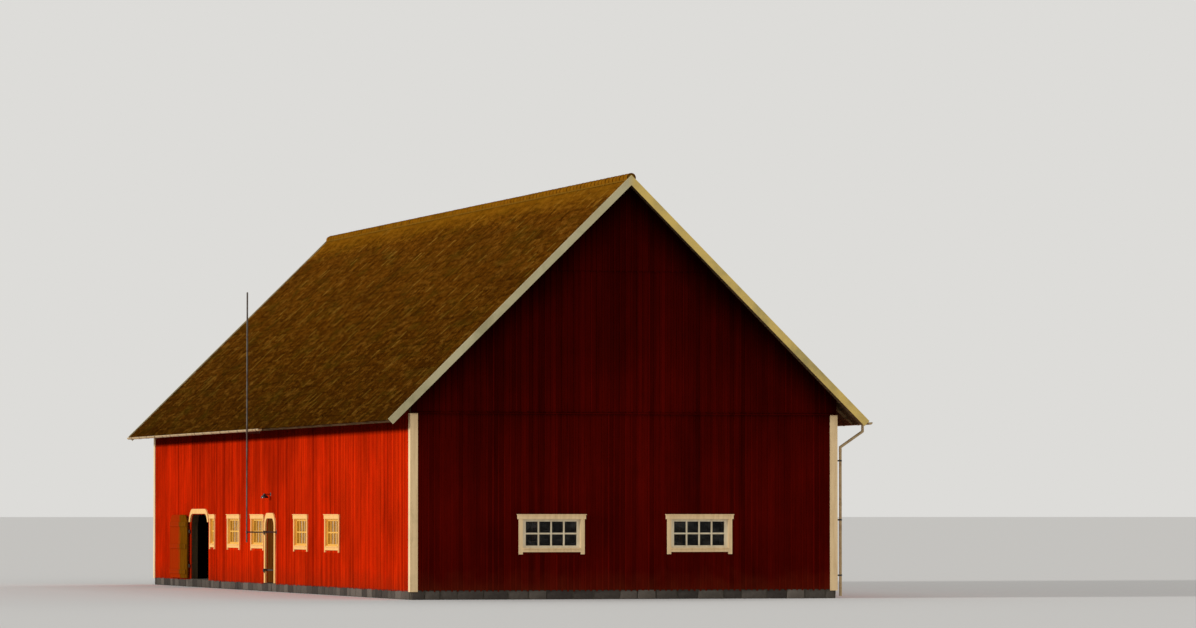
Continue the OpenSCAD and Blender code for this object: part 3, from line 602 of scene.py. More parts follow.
def add_box(bm, low, high, matrix=Matrix()):
    """A box between two corners of the matrix's space. Returns its eight vertices."""
    low, high = Vector(low), Vector(high)
    size = Matrix.Diagonal((*(high - low), 1))
    made = bmesh.ops.create_cube(bm, size=1, matrix=matrix @ Matrix.Translation((low + high) / 2) @ size)
    return made["verts"]


def make_piece(name, bm, body, slot, *finishes):
    """Turns a bmesh into an object that rides on a CAD body."""
    mesh = bpy.data.meshes.new(name)
    bm.to_mesh(mesh)
    bm.free()
    obj = bpy.data.objects.new(name, mesh)
    scene.collection.objects.link(obj)
    for finish in finishes:
        mesh.materials.append(finish)
    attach(obj, body)
    return obj


def set_tones(obj, tones):
    """Writes one tone for each point of a piece."""
    layer = obj.data.attributes.new("tone", "FLOAT", "POINT")
    layer.data.foreach_set("value", tones)


# %% Edges, shading and tones


def new_verts(made):
    """The vertices that an extrusion has added."""
    return [v for v in made["geom"] if isinstance(v, bmesh.types.BMVert)]


def shade_smooth(bm, sharp_from=None):
    """Shades faces smooth. Edges stay sharp from an angle on, given in degrees."""
    for face in bm.faces:
        face.smooth = True
    if sharp_from:
        for edge in bm.edges:
            edge.smooth = edge.calc_face_angle(0) < math.radians(sharp_from)


def bake_modifiers(obj):
    """Replaces the mesh by what its modifiers make of it."""
    graph = bpy.context.evaluated_depsgraph_get()
    baked = bpy.data.meshes.new_from_object(obj.evaluated_get(graph))
    obj.modifiers.clear()
    obj.data = baked


def wear_edges(obj, width, segments=1):
    """Rounds the sharp edges of a piece by a Bevel modifier and bakes it."""
    bevel = obj.modifiers.new("worn_edges", "BEVEL")
    bevel.width, bevel.segments, bevel.limit_method = width, segments, "ANGLE"
    bake_modifiers(obj)


def soften(bm, edges, width):
    """Takes the sharpness off some edges of a bmesh."""
    bmesh.ops.bevel(bm, geom=edges, offset=width, segments=1, profile=0.5, affect="EDGES", material=-1)


def lucky(middle, spread):
    """A tone from 0 to 1, mostly near the middle."""
    return min(1.0, max(0.0, draw.gauss(middle, spread)))


def count(obj):
    """How many triangles a piece has."""
    return sum(len(p.vertices) - 2 for p in obj.data.polygons)


# %% [markdown]
# Board and batten: wide boards stand side by side and a narrow strip covers each joint. The boards are
# the CAD wall, so only the strips are modelled, one for each joint, 45 mm wide. They stop at casings
# and doorways, which are given as functions that say how much of a strip they take. Two strips on the
# west wall cover old section joints and are wider and darker. A bump map could fake strips from afar,
# but it would be flat along the gable's edge and in the mesh, so each strip is a real box.

# %% What a batten stops at
FIT = 0.004
SHORTEST = 0.03


def box_stop(low, high):
    """A box on the wall as a stop: the part of a strip that it takes, or nothing."""
    def taken(left, right):
        if right < low.x - FIT or left > high.x + FIT:
            return None
        return low.z - FIT, high.z + FIT
    return taken


def arch_top(x, half, crown, radius):
    """Height of an outline with rounded upper corners at x from its middle."""
    into = max(0.0, abs(x) - (half - radius))
    return crown - radius + math.sqrt(max(0.0, radius ** 2 - into ** 2))


def arch_stop(middle, half, crown, radius, low):
    """A doorway or band with rounded upper corners as a stop, starting at low."""
    def taken(left, right):
        apart = (left - middle) * (right - middle) > 0
        aside = min(abs(left - middle), abs(right - middle)) if apart else 0
        if aside > half:
            return None
        return low, arch_top(aside, half, crown, radius) + FIT
    return taken


def spans(low, high, stops, left, right):
    """What is left of a strip between low and high."""
    taken = sorted(t for t in (stop(left, right) for stop in stops) if t)
    parts, start = [], low
    for bottom, top in taken:
        if bottom > start:
            parts.append((start, min(bottom, high)))
        start = max(start, top)
    if start < high:
        parts.append((start, high))
    return [p for p in parts if p[1] - p[0] > SHORTEST]


# %% Battens
STRIP_W = 0.045
STRIP_OUT = 0.018
STRIP_LOW = FLOOR_Z - 0.03
# A broad strip has this much more to either side and outwards
BROAD_SIDE, BROAD_OUT = 0.03, 0.008
# How far a strip is off at most: to either side, in thickness, in place and at its foot
OFF_SIDE, OFF_OUT, OFF_PLACE, OFF_FOOT = 0.003, 0.002, 0.006, 0.012
STRIP_WEAR = 0.004
# The middle of the strips' tones and how far they spread
STRIP_TONE = (0.55, 0.24)


def add_strips(bm, tones, wall, places, low, top_at, stops, out, wide=()):
    """Strips over the board joints of one wall. top_at gives the height that a strip reaches at x."""
    back = WALLS[wall].inverted()
    for x in places:
        broad = any(abs(x - w) < BOARD_PITCH / 2 for w in wide)
        half = STRIP_W / 2 + (BROAD_SIDE if broad else draw.uniform(-OFF_SIDE, OFF_SIDE))
        thick = STRIP_OUT + (BROAD_OUT if broad else draw.uniform(-OFF_OUT, OFF_OUT))
        middle = x + draw.uniform(-OFF_PLACE, OFF_PLACE)
        tone = 0.0 if broad else lucky(*STRIP_TONE)
        foot = low + draw.uniform(-OFF_FOOT, OFF_FOOT)
        for z0, z1 in spans(foot, top_at(middle), stops, middle - half, middle + half):
            verts = add_box(bm, (middle - half, -out - thick, z0), (middle + half, -out, z1), WALLS[wall])
            if z1 == top_at(middle):
                for v in verts:
                    if v.co.z > (z0 + z1) / 2:
                        v.co.z = top_at((back @ v.co).x)
            tones.extend([tone] * len(verts))


def joints(first, last):
    """Places of the board joints between two ends of a wall."""
    numbers = range(math.ceil(first / BOARD_PITCH), math.floor(last / BOARD_PITCH) + 1)
    return [number * BOARD_PITCH for number in numbers]


def strips_piece(name, wall, finish, jobs):
    """One piece of strips from several jobs, each a dictionary for add_strips."""
    bm = bmesh.new()
    tones = []
    for job in jobs:
        add_strips(bm, tones, wall, **job)
    obj = make_piece(name, bm, "barn", "red_boards", finish)
    set_tones(obj, tones)
    wear_edges(obj, STRIP_WEAR)
    print(name, "strips", len(tones) // 8)


# %% What the battens on the west wall stop at
BIG_HALF, BIG_ROUND, TRIM_BAND = 1.375, 0.43, 0.17
SMALL_HALF, SMALL_ROUND, SURROUND = 0.59, 0.26, 0.16
# Room beside the big doorway for its pintles, and at its other jamb
PINTLE_ROOM, JAMB_ROOM = 0.11, 0.02
LAMP_PLATE = 0.09
small_low, small_high = boxes_on_wall("west", "small_door_surround")[0]
trim_low, trim_high = boxes_on_wall("west", "big_door_head_trim")[0]
small_mid = (small_low.x + small_high.x) / 2
big_mid = (trim_low.x + trim_high.x) / 2
lamp_top = boxes_on_wall("west", "wall_lamp")[0][1].z
west_stops = [box_stop(*box) for box in west_casings + boxes_on_wall("west", "mast_brackets")]
west_stops += [
    box_stop(Vector((small_mid - LAMP_PLATE / 2, 0, lamp_top - LAMP_PLATE)),
             Vector((small_mid + LAMP_PLATE / 2, 0, lamp_top))),
    box_stop(Vector((big_mid - BIG_HALF - PINTLE_ROOM, 0, 0)),
             Vector((big_mid + BIG_HALF + JAMB_ROOM, 0, trim_low.z))),
    arch_stop(big_mid, BIG_HALF + TRIM_BAND, trim_high.z, BIG_ROUND + TRIM_BAND, trim_low.z - FIT),
    arch_stop(small_mid, SMALL_HALF + SURROUND, small_high.z, SMALL_ROUND + SURROUND, 0.0)]
print("stops on the west wall:", len(west_stops))

# %% Battens on the long walls
CORNER_W = 0.21
CORNER_ROOM = 0.05
# The rafter tails' upper edge, below the tiles' top and square to the slope, and how far under it the
# strips end, with the tails between
TAIL_TOP, UNDER_TAIL = 0.13, 0.14
# The old section joints, in metres from the front corner
OLD_JOINTS = (16.5, 11.75)
edge_room = CORNER_W - (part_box("corner_boards")[1].x - HALF_W) + CORNER_ROOM
side_top = roof_z(HALF_W, TAIL_TOP) - UNDER_TAIL
side_job = dict(places=joints(-HALF_L + edge_room, HALF_L - edge_room), low=STRIP_LOW,
                top_at=lambda x: side_top, out=0)
strips_piece("west_battens", "west", red_side_strip,
             [dict(side_job, stops=west_stops, wide=[HALF_L - place for place in OLD_JOINTS])])
strips_piece("east_battens", "east", red_side_strip,
             [dict(side_job, stops=[box_stop(*box) for box in east_casings])])

# %% Battens on the gable ends
TIER_OUT = 0.03
# Strips of the lower tier begin over the drip board, and those of the upper tier lap over the lower
OVER_BELT, TIER_LAP = 0.02, 0.03
VERGE_ROOM = 0.04
STRIP_REACH = 0.03
SHORTEST_TOP = 0.05
drip_low = boxes_on_wall("front", "drip_boards")[0][0].z


def under_deck(x):
    """Height where a gable strip meets the underside of the roof deck."""
    return roof_z(x, DECK_LOW)


def gable_strips(name, wall, casings):
    """Strips on the lower wall and on both tiers of the gable over it."""
    reach = (APEX_Z - TIER_Z) / math.tan(PITCH)
    end_joints = joints(-HALF_W + edge_room, HALF_W - edge_room)
    first_tier = joints(-HALF_W + VERGE_ROOM, HALF_W - VERGE_ROOM)
    second_tier = [x for x in joints(-reach, reach)
                   if under_deck(abs(x) + STRIP_REACH) > TIER_Z + SHORTEST_TOP]
    strips_piece(name, wall, red_end_strip, [
        dict(places=end_joints, low=STRIP_LOW, top_at=lambda x: drip_low,
             stops=[box_stop(*box) for box in casings], out=0),
        dict(places=first_tier, low=BELT_Z + OVER_BELT, top_at=lambda x: min(TIER_Z, under_deck(x)),
             stops=[], out=TIER_OUT),
        dict(places=second_tier, low=TIER_Z - TIER_LAP, top_at=under_deck, stops=[], out=2 * TIER_OUT)])


gable_strips("front_battens", "front", front_casings)
gable_strips("rear_battens", "rear", rear_casings)

# %% [markdown]
# Pantiles: each tile is a thin clay plate with a roll along one edge and a shallow pan beside it. One
# tile is made as a wavy ribbon, given its thickness, and repeated by two Array modifiers, along the
# slope and along the roof. The arrays are then baked, and every tile is nudged, tilted and given its
# own tone, because no two hand-made tiles lie alike. Each roll carries a painted highlight and each pan
# a painted shade, which bring out the wave where the light leaves it flat. A few tiles have slipped.
# Bump alone would leave the roof's lower edge and its verges straight, where the eye looks for tiles
# first.

# %% One pantile
TILE_COLUMNS = 160
TILE_COURSES = 27
TILE_THICK = 0.011
HEADLAP = 0.07
FIRST_COURSE = 0.10
OVERHANG = 0.012
# A tile's head lies so far over the deck, and its foot rises over the next course by so much more
HEAD_REST, FOOT_RISE = 0.003, 0.015
TILE_PROFILE = ((0.0, 0.010), (0.036, 0.027), (0.078, 0.008), (0.125, 0.0), (0.200, 0.002), (0.246, 0.013))
verge_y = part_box("west_roof_deck")[1].y
tile_pitch = 2 * verge_y / TILE_COLUMNS
slope_length = EAVE_RUN / math.cos(PITCH)
gauge = (slope_length + OVERHANG - FIRST_COURSE) / TILE_COURSES


def one_tile():
    """A tile at the top left of its roof: X along the roof, Y down the slope, Z out of it."""
    bm = bmesh.new()
    top = [bm.verts.new((x, -HEADLAP, z + TILE_THICK + HEAD_REST)) for x, z in TILE_PROFILE]
    edges = [bm.edges.new(pair) for pair in zip(top, top[1:])]
    front = new_verts(bmesh.ops.extrude_edge_only(bm, edges=edges))
    bmesh.ops.translate(bm, verts=front, vec=(0, gauge + HEADLAP, FOOT_RISE))
    bmesh.ops.recalc_face_normals(bm, faces=bm.faces)
    if sum(f.normal.z for f in bm.faces) < 0:
        bmesh.ops.reverse_faces(bm, faces=bm.faces)
    lower = new_verts(bmesh.ops.extrude_face_region(bm, geom=bm.faces[:]))
    bmesh.ops.translate(bm, verts=lower, vec=(0, 0, -TILE_THICK))
    bmesh.ops.recalc_face_normals(bm, faces=bm.faces)
    shade_smooth(bm, 50)
    return bm


print("faces on one tile", len(one_tile().faces), "gauge", round(gauge, 3), "pitch", round(tile_pitch, 4))

# %% Lay the tiles by hand
# How far tiles are off: in height, tilted and turned in radians, slid, and the few that have slipped
OFF_LIFT, OFF_TILT, OFF_TURN, OFF_SLIDE = 0.002, 0.003, 0.010, 0.006
SLIPPED_SHARE = 0.006
SLIPPED = (0.03, 0.06)
# The last course keeps its line at the gutter
EAVE_SLIDE = (-0.01, 0.004)
# The roof sags in slow waves: how deep, how fast they go along and down the roof, and where they begin
SAG, ALONG_WAVE, DOWN_WAVE, WAVE_START = 0.004, 0.9, 0.7, 1.3


def lay_by_hand(tiles, luck):
    """Moves each tile a little. Returns where each point lies from the middle of its tile."""
    number = len(tiles)
    middle = tiles.mean(axis=1)
    local = tiles - middle[:, None, :]
    lift = luck.uniform(-OFF_LIFT, OFF_LIFT, number)
    tilt = luck.normal(0, OFF_TILT, number)
    turn = luck.normal(0, OFF_TURN, number)
    slide = luck.normal(0, OFF_SLIDE, number)
    slipped = luck.random(number) < SLIPPED_SHARE
    slide = np.where(slipped, slide + luck.uniform(*SLIPPED, number), slide)
    last_course = middle[:, 1] > slope_length - FIRST_COURSE - gauge
    slide = np.where(last_course, np.clip(slide, *EAVE_SLIDE), slide)
    waves = np.sin(middle[:, 0] * ALONG_WAVE + WAVE_START) * np.sin(middle[:, 1] * DOWN_WAVE)
    sag = SAG * waves - SAG
    tiles[..., 2] += (lift + sag)[:, None] + tilt[:, None] * local[..., 1]
    tiles[..., 0] += turn[:, None] * local[..., 1]
    tiles[..., 1] += slide[:, None]
    return local


# %% Tones of the tiles
TILE_TONE = (0.45, 0.12)
PALEST_USUAL = 0.85
PALE_SHARE = 0.03
# A painted highlight on each tile's roll and a painted shade in its pan
ROLL_X, ROLL_W, ROLL_PAINTED_HIGHLIGHT = TILE_PROFILE[1][0], 0.035, 0.30
PAN_X, PAN_W, PAN_PAINTED_SHADE = 0.145, 0.06, 0.26


def tile_tones(local, luck):
    """A tone for each point: most tiles are close, a few are pale, rolls get a painted highlight and pans a
    painted shade.
    """
    number = len(local)
    tone = np.clip(luck.normal(*TILE_TONE, number), 0, PALEST_USUAL)
    pale = luck.random(number) < PALE_SHARE
    tone = np.where(pale, luck.uniform(PALEST_USUAL, 1.0, number), tone)
    across = local[..., 0] - local[..., 0].min(axis=1, keepdims=True)
    roll = np.exp(-((across - ROLL_X) / ROLL_W) ** 2)
    pan = np.exp(-((across - PAN_X) / PAN_W) ** 2)
    return tone[:, None] + ROLL_PAINTED_HIGHLIGHT * roll - PAN_PAINTED_SHADE * pan


# %% Tile both slopes
TILE_SEED = 20


def slope_matrix(side):
    """From a roof slope's own space to the barn: side is -1 for west and 1 for east."""
    along = Vector((0, -side, 0))
    down = Vector((side * math.cos(PITCH), 0, -math.sin(PITCH)))
    out = Vector((side * math.sin(PITCH), 0, math.cos(PITCH)))
    start = Vector((0, side * verge_y, APEX_Z)) - DECK_TOP * out + FIRST_COURSE * down
    turn = Matrix((along, down, out)).transposed().to_4x4()
    return Matrix.Translation(start) @ turn


def tile_slope(name, side):
    """All tiles of one slope as a single piece."""
    obj = make_piece(name, one_tile(), "barn", "clay_tile", tile_clay)
    for step, number in (((0, gauge, 0), TILE_COURSES), ((tile_pitch, 0, 0), TILE_COLUMNS)):
        array = obj.modifiers.new("tiles", "ARRAY")
        array.use_relative_offset = False
        array.use_constant_offset = True
        array.constant_offset_displace = step
        array.count = number
    bake_modifiers(obj)
    flat = np.zeros(len(obj.data.vertices) * 3)
    obj.data.vertices.foreach_get("co", flat)
    tiles = flat.reshape(TILE_COLUMNS * TILE_COURSES, -1, 3)
    luck = np.random.default_rng(TILE_SEED + side)
    local = lay_by_hand(tiles, luck)
    matrix = slope_matrix(side)
    turned = tiles.reshape(-1, 3) @ np.array(matrix.to_3x3()).T + np.array(matrix.translation)
    obj.data.vertices.foreach_set("co", turned.astype(np.float32).ravel())
    set_tones(obj, tile_tones(local, luck).astype(np.float32).ravel())
    obj.data.update()
    print(name, "tiles", len(tiles), "triangles", count(obj))


tile_slope("west_pantiles", -1)
tile_slope("east_pantiles", 1)

# %% [markdown]
# The ridge is closed by half-round tiles laid end over end in mortar. One tile is a slice of its wall
# spun round the ridge line, wider at one end so that it covers the next. They replace the plain ridge
# of the CAD model and lie in the same place, with a strip of mortar under their edges.

# %% Ridge tiles
RIDGE_R = 0.130
RIDGE_NARROW = 0.112
RIDGE_WALL = 0.014
RIDGE_TILES = 100
RIDGE_LAP = 0.04
RIDGE_OFF = 0.004
RIDGE_TONE = (0.62, 0.16)
SPREAD = math.radians(22)
ridge_axis_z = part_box("ridge_tiles")[1].z - RIDGE_R
ridge_step = 2 * verge_y / RIDGE_TILES
SECTION = ((RIDGE_R, 0.0), (RIDGE_NARROW, ridge_step + RIDGE_LAP),
           (RIDGE_NARROW - RIDGE_WALL, ridge_step + RIDGE_LAP), (RIDGE_R - RIDGE_WALL, 0.0))
ridge_cap = bmesh.new()
ridge_tones = []
for i in range(RIDGE_TILES):
    start = -verge_y + i * ridge_step
    room = min(1.0, (verge_y - start) / (ridge_step + RIDGE_LAP))
    drop = draw.uniform(-RIDGE_OFF, 0.0)
    aside = draw.uniform(-RIDGE_OFF, RIDGE_OFF)
    quad = [ridge_cap.verts.new((r * math.cos(SPREAD) + aside, start + y * room,
                                 ridge_axis_z - r * math.sin(SPREAD) + drop)) for r, y in SECTION]
    face = ridge_cap.faces.new(quad)
    before = len(ridge_cap.verts)
    bmesh.ops.spin(ridge_cap, geom=[face] + list(face.edges) + quad,
                   cent=(aside, start, ridge_axis_z + drop), axis=(0, -1, 0),
                   angle=math.pi + 2 * SPREAD, steps=10, use_merge=False, use_duplicate=False)
    ridge_tones += [lucky(*RIDGE_TONE)] * (len(ridge_cap.verts) - before + 4)
bmesh.ops.recalc_face_normals(ridge_cap, faces=ridge_cap.faces)
shade_smooth(ridge_cap, 40)
ridge_piece = make_piece("ridge_caps", ridge_cap, "barn", "clay_tile", tile_clay)
set_tones(ridge_piece, ridge_tones)
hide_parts("ridge_tiles")
print("ridge tiles", RIDGE_TILES, "triangles", count(ridge_piece))

# %% Mortar under the ridge
BED_HALF = 0.138
BED_FREE = 0.002
BED_R = RIDGE_NARROW - RIDGE_WALL - BED_FREE
# The bed's edges and its keel, below the tiles' top, and its ends, back from the verge
BED_EDGE, BED_KEEL, BED_BACK = 0.012, 0.075, 0.005
arc = [math.radians(angle) for angle in range(180, -1, -20)]
bed = bmesh.new()
outline = [(-BED_HALF, roof_z(BED_HALF, BED_EDGE))]
outline += [(BED_R * math.cos(a), ridge_axis_z + BED_R * math.sin(a)) for a in arc]
outline += [(BED_HALF, roof_z(BED_HALF, BED_EDGE)), (0.0, roof_z(0, BED_KEEL))]
end_face = bed.faces.new([bed.verts.new((x, BED_BACK - verge_y, z)) for x, z in outline])
far_end = new_verts(bmesh.ops.extrude_face_region(bed, geom=[end_face]))
bmesh.ops.translate(bed, verts=far_end, vec=(0, 2 * (verge_y - BED_BACK), 0))
bmesh.ops.recalc_face_normals(bed, faces=bed.faces)
bed_piece = make_piece("ridge_mortar", bed, "barn", "clay_tile", ridge_mortar)
print("mortar under the ridge:", count(bed_piece), "triangles")

# %% [markdown]
# Each window has thin glazing bars that hold its small panes: three upright and one across on the wide
# windows, one and one on the narrow window. The bars follow the glass of the CAD model, so they sit in
# the daylight opening of each sash. A putty bevel on their front comes from a small bevel.

# %% Glazing bars
BAR_W = 0.045
BAR_FRONT = 0.022
BAR_BACK = 0.012
PUTTY = 0.006
WIDE_PANE = 1.0
# The bar across is this much thinner on both faces, so that it stays inside the upright ones
CROSS_IN = 0.001


def glazing_bars(name, wall_names, node_name, finish):
    """Bars for every pane of glass in a node."""
    bm = bmesh.new()
    for wall in wall_names:
        for low, high in boxes_on_wall(wall, node_name):
            columns = 4 if high.x - low.x > WIDE_PANE else 2
            y0, y1 = low.y - BAR_FRONT, high.y + BAR_BACK
            for i in range(1, columns):
                x = low.x + (high.x - low.x) * i / columns
                add_box(bm, (x - BAR_W / 2, y0, low.z), (x + BAR_W / 2, y1, high.z), WALLS[wall])
            z = (low.z + high.z) / 2
            add_box(bm, (low.x, y0 + CROSS_IN, z - BAR_W / 2), (high.x, y1 - CROSS_IN, z + BAR_W / 2),
                    WALLS[wall])
    soften(bm, bm.edges[:], PUTTY)
    return make_piece(name, bm, "barn", "white_sash", finish)


west_bars = glazing_bars("west_glazing_bars", ["west"], "west_window_glass", side_sash)
east_bars = glazing_bars("east_glazing_bars", ["east"], "east_window_glass", side_sash)
gable_bars = glazing_bars("gable_glazing_bars", ["front", "rear"], "gable_window_glass", sash_white)
print("glazing bars:", count(west_bars), count(east_bars), count(gable_bars), "triangles")

# %% [markdown]
# A ledged door is upright boards nailed to cross ledges. Each board is cut from the door's outline, so
# the boards under the rounded corners follow the curve. The leaf is drawn shut in the wall's own
# space: boards, ledges on the inner side, iron straps with bolts on the outer side, and nails on the
# ledges. It is then turned about the hinge to where the CAD leaf is, and replaces that leaf. Sizes
# are those of the CAD leaf, so that it swings as freely.

# %% Door leaf helpers
LEAF_GAP, LEAF_LIFT, LEAF_T = 0.015, 0.015, 0.050
LEDGE_W, LEDGE_T, LEDGE_INSET = 0.150, 0.026, 0.090
PIN_BESIDE = 0.030
LEAF_EDGE = PIN_BESIDE + LEAF_GAP
STRAP_W, STRAP_T = 0.055, 0.008
EYE_R, EYE_H = 0.022, 0.070
BOLT_R, BOLT_EVERY, FIRST_BOLT = 0.011, 0.3, 0.07
DOME = 0.6


def add_board(bm, x0, x1, z0, top_at, y_out):
    """An upright door board whose top follows top_at. y_out is its outer face, and it runs inwards."""
    steps = 4
    xs = [x0 + (x1 - x0) * i / steps for i in range(steps + 1)]
    rim = [(x0, z0), (x1, z0)] + [(x, top_at(x)) for x in reversed(xs)]
    face = bm.faces.new([bm.verts.new((x, y_out, z)) for x, z in rim])
    inner = new_verts(bmesh.ops.extrude_face_region(bm, geom=[face]))
    bmesh.ops.translate(bm, verts=inner, vec=(0, LEAF_T, 0))


def add_stud(bm, x, y, z, size, way=1):
    """A domed bolt or nail head that stands out towards -Y, or towards +Y where way is -1."""
    made = bmesh.ops.create_uvsphere(bm, u_segments=8, v_segments=4, radius=size)
    squash = Matrix.Diagonal((1, DOME * way, 1, 1))
    bmesh.ops.transform(bm, matrix=Matrix.Translation((x, y, z)) @ squash, verts=made["verts"])


def add_strap(bm, hinge_x, z, y_face, y_pin, length):
    """An eye round the pin, an arm level with it, a crank beside the leaf's edge, and a strap that
    narrows along the leaf's outer face to a round end."""
    root, tip = STRAP_W / 2, STRAP_W / 4
    bmesh.ops.create_cone(bm, cap_ends=True, segments=20, radius1=EYE_R, radius2=EYE_R, depth=EYE_H,
                          matrix=Matrix.Translation((hinge_x, y_pin, z)))
    add_box(bm, (hinge_x, y_pin - STRAP_T / 2, z - root),
            (hinge_x + LEAF_EDGE + STRAP_T, y_pin + STRAP_T / 2, z + root))
    add_box(bm, (hinge_x + LEAF_EDGE, y_pin, z - root), (hinge_x + LEAF_EDGE + STRAP_T, y_face, z + root))
    end = hinge_x + length
    flat = add_box(bm, (hinge_x + LEAF_EDGE, y_face - STRAP_T, z - root), (end, y_face, z + root))
    for v in flat:
        if v.co.x > end - 1e-4:
            v.co.z = z + math.copysign(tip, v.co.z - z)
    disc = Matrix.Translation((end, y_face - STRAP_T / 2, z)) @ Matrix.Rotation(math.pi / 2, 4, "X")
    bmesh.ops.create_cone(bm, cap_ends=True, segments=20, radius1=root, radius2=root, depth=STRAP_T,
                          matrix=disc)
    bolts = max(3, round(length / BOLT_EVERY))
    for k in range(bolts + 1):
        x = hinge_x + LEAF_EDGE + FIRST_BOLT + (length - LEAF_EDGE - FIRST_BOLT) * k / bolts
        add_stud(bm, x, y_face - STRAP_T, z, BOLT_R)


# %% Boards and ledges of a leaf
DOOR_BOARD = 0.17
BOARD_GAP = 0.002
BOARD_EDGE, LEDGE_EDGE = 0.004, 0.005
# The lowest ledge over the boards' foot, and the highest under the crown
LEDGE_UP, LEDGE_DOWN = 0.2, 0.3


def add_wood(bm, middle, outline, low, y_out):
    """The boards and ledges of a leaf. Returns where its nails go, along the wall and in height."""
    half, crown, radius = outline
    boards = round(2 * half / DOOR_BOARD)
    width = 2 * half / boards
    for i in range(boards):
        x0 = middle - half + i * width + (BOARD_GAP if i else 0)
        x1 = middle - half + (i + 1) * width - (BOARD_GAP if i < boards - 1 else 0)
        add_board(bm, x0, x1, low, lambda x: arch_top(x - middle, half, crown, radius), y_out)
    bmesh.ops.recalc_face_normals(bm, faces=bm.faces)
    soften(bm, [e for e in bm.edges if e.calc_face_angle(0) > 1], BOARD_EDGE)
    inner = y_out + LEAF_T
    ledge_zs = (low + LEDGE_UP, (low + crown) / 2, crown - LEDGE_DOWN)
    for z in ledge_zs:
        box = add_box(bm, (middle - half + LEDGE_INSET, inner, z - LEDGE_W / 2),
                      (middle + half - LEDGE_INSET, inner + LEDGE_T, z + LEDGE_W / 2))
        soften(bm, [e for e in bm.edges if e.verts[0] in box and e.verts[1] in box], LEDGE_EDGE)
    return [(middle - half + (i + 0.5) * width, z) for z in ledge_zs for i in range(1, boards - 1)]


# %% Hang the leaves
NAIL_R, NAIL_ASIDE = 0.007, 0.04


def door_leaf(name, node_name, body, finish, middle, opening, proud, pin_out, strap_len, strap_zs, turned):
    """A ledged leaf, drawn shut in the west wall's space and turned about its hinge by turned degrees."""
    half, crown, radius = opening
    hinge_x = middle - half - PIN_BESIDE
    bm = bmesh.new()
    nails = add_wood(bm, middle, (half - LEAF_GAP, crown - LEAF_GAP, radius), FLOOR_Z + LEAF_LIFT, -proud)
    wood = set(bm.faces)
    for z in strap_zs:
        add_strap(bm, hinge_x, FLOOR_Z + z, -proud, -pin_out, strap_len)
    for x, z in nails:
        for up in (-NAIL_ASIDE, NAIL_ASIDE):
            add_stud(bm, x, -proud + LEAF_T + LEDGE_T, z + up, NAIL_R, -1)
    for face in bm.faces:
        face.material_index = 0 if face in wood else 1
    pin = Matrix.Translation((hinge_x, -pin_out, 0))
    swing = pin @ Matrix.Rotation(math.radians(turned), 4, "Z") @ pin.inverted()
    bmesh.ops.transform(bm, matrix=WALLS["west"] @ swing, verts=bm.verts)
    bmesh.ops.recalc_face_normals(bm, faces=bm.faces)
    obj = make_piece(name, bm, body, "door_boards", finish, forged_iron)
    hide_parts(node_name)
    print(name, count(obj), "triangles")


door_leaf("small_ledged_leaf", "small_door_leaf", "small_leaf", small_door_tar, small_mid,
          (SMALL_HALF, FLOOR_Z + 1.90, SMALL_ROUND), proud=-0.025, pin_out=0.075, strap_len=0.85,
          strap_zs=(0.38, 1.5), turned=0)
door_leaf("big_ledged_leaf", "big_door_leaf", "big_leaf", big_door_tar, big_mid,
          (BIG_HALF, FLOOR_Z + 2.02, BIG_ROUND), proud=0.016, pin_out=0.040, strap_len=1.7,
          strap_zs=(0.42, 1.5), turned=180)

# %% [markdown]
# The footing is split fieldstone set in mortar. The CAD ring is the mortar core, and stones of random
# length stand a little proud of it all round. Each is a box with its corners pushed about and its
# edges worn by a bevel of two steps, which reads as hand-split granite. Each has its own tone.

# %% Footing stones
STONE_PROUD, FLATTEST = 0.030, 0.2
RING_BACK = 0.020
STONE_DEPTH = 0.06
STONE_LENGTH = (0.35, 0.75)
MORTAR_JOINT = (0.014, 0.034)
UNDER_FLOOR = (0.004, 0.02)
OVER_GROUND = 0.002
KNOCKED = 0.006
END_ROOM = 0.03
SHORTEST_STONE = 0.25
STONE_WEAR = 0.02
stones = bmesh.new()
stone_tones = []
for wall, half in (("front", HALF_W), ("rear", HALF_W), ("west", HALF_L), ("east", HALF_L)):
    at = -half + END_ROOM
    while at < half - SHORTEST_STONE:
        length = min(draw.uniform(*STONE_LENGTH), half - END_ROOM - at)
        out = STONE_PROUD * draw.uniform(FLATTEST, 1.0) - RING_BACK
        top = FLOOR_Z - draw.uniform(*UNDER_FLOOR)
        end = at + length - draw.uniform(*MORTAR_JOINT)
        verts = add_box(stones, (at, -out, OVER_GROUND), (end, RING_BACK + STONE_DEPTH, top), WALLS[wall])
        for v in verts:
            v.co += Vector((draw.uniform(-KNOCKED, KNOCKED), draw.uniform(-KNOCKED, KNOCKED), 0))
        at += length
        stone_tones += [draw.random()] * len(verts)
shade_smooth(stones)
stone_piece = make_piece("footing_stones", stones, "barn", "fieldstone", fieldstone)
set_tones(stone_piece, stone_tones)
wear_edges(stone_piece, STONE_WEAR, 2)
print("footing stones", len(stone_tones) // 8, "triangles", count(stone_piece))

# %% [markdown]
# Rolled gutters have a bead along their outer rim that stiffens the sheet, and a downpipe is short
# lengths pushed into one another, with a collar at each joint. Both are turned shapes, so a circle is
# extruded for the bead and a ring spun for the collars. The lamp's bulb is a pear of milky glass, a
# profile spun about its own axis, because a plain ball would look like a bearing.

# %% Gutter beads and pipe collars
BEAD_R = 0.007
PIPE_R = 0.038
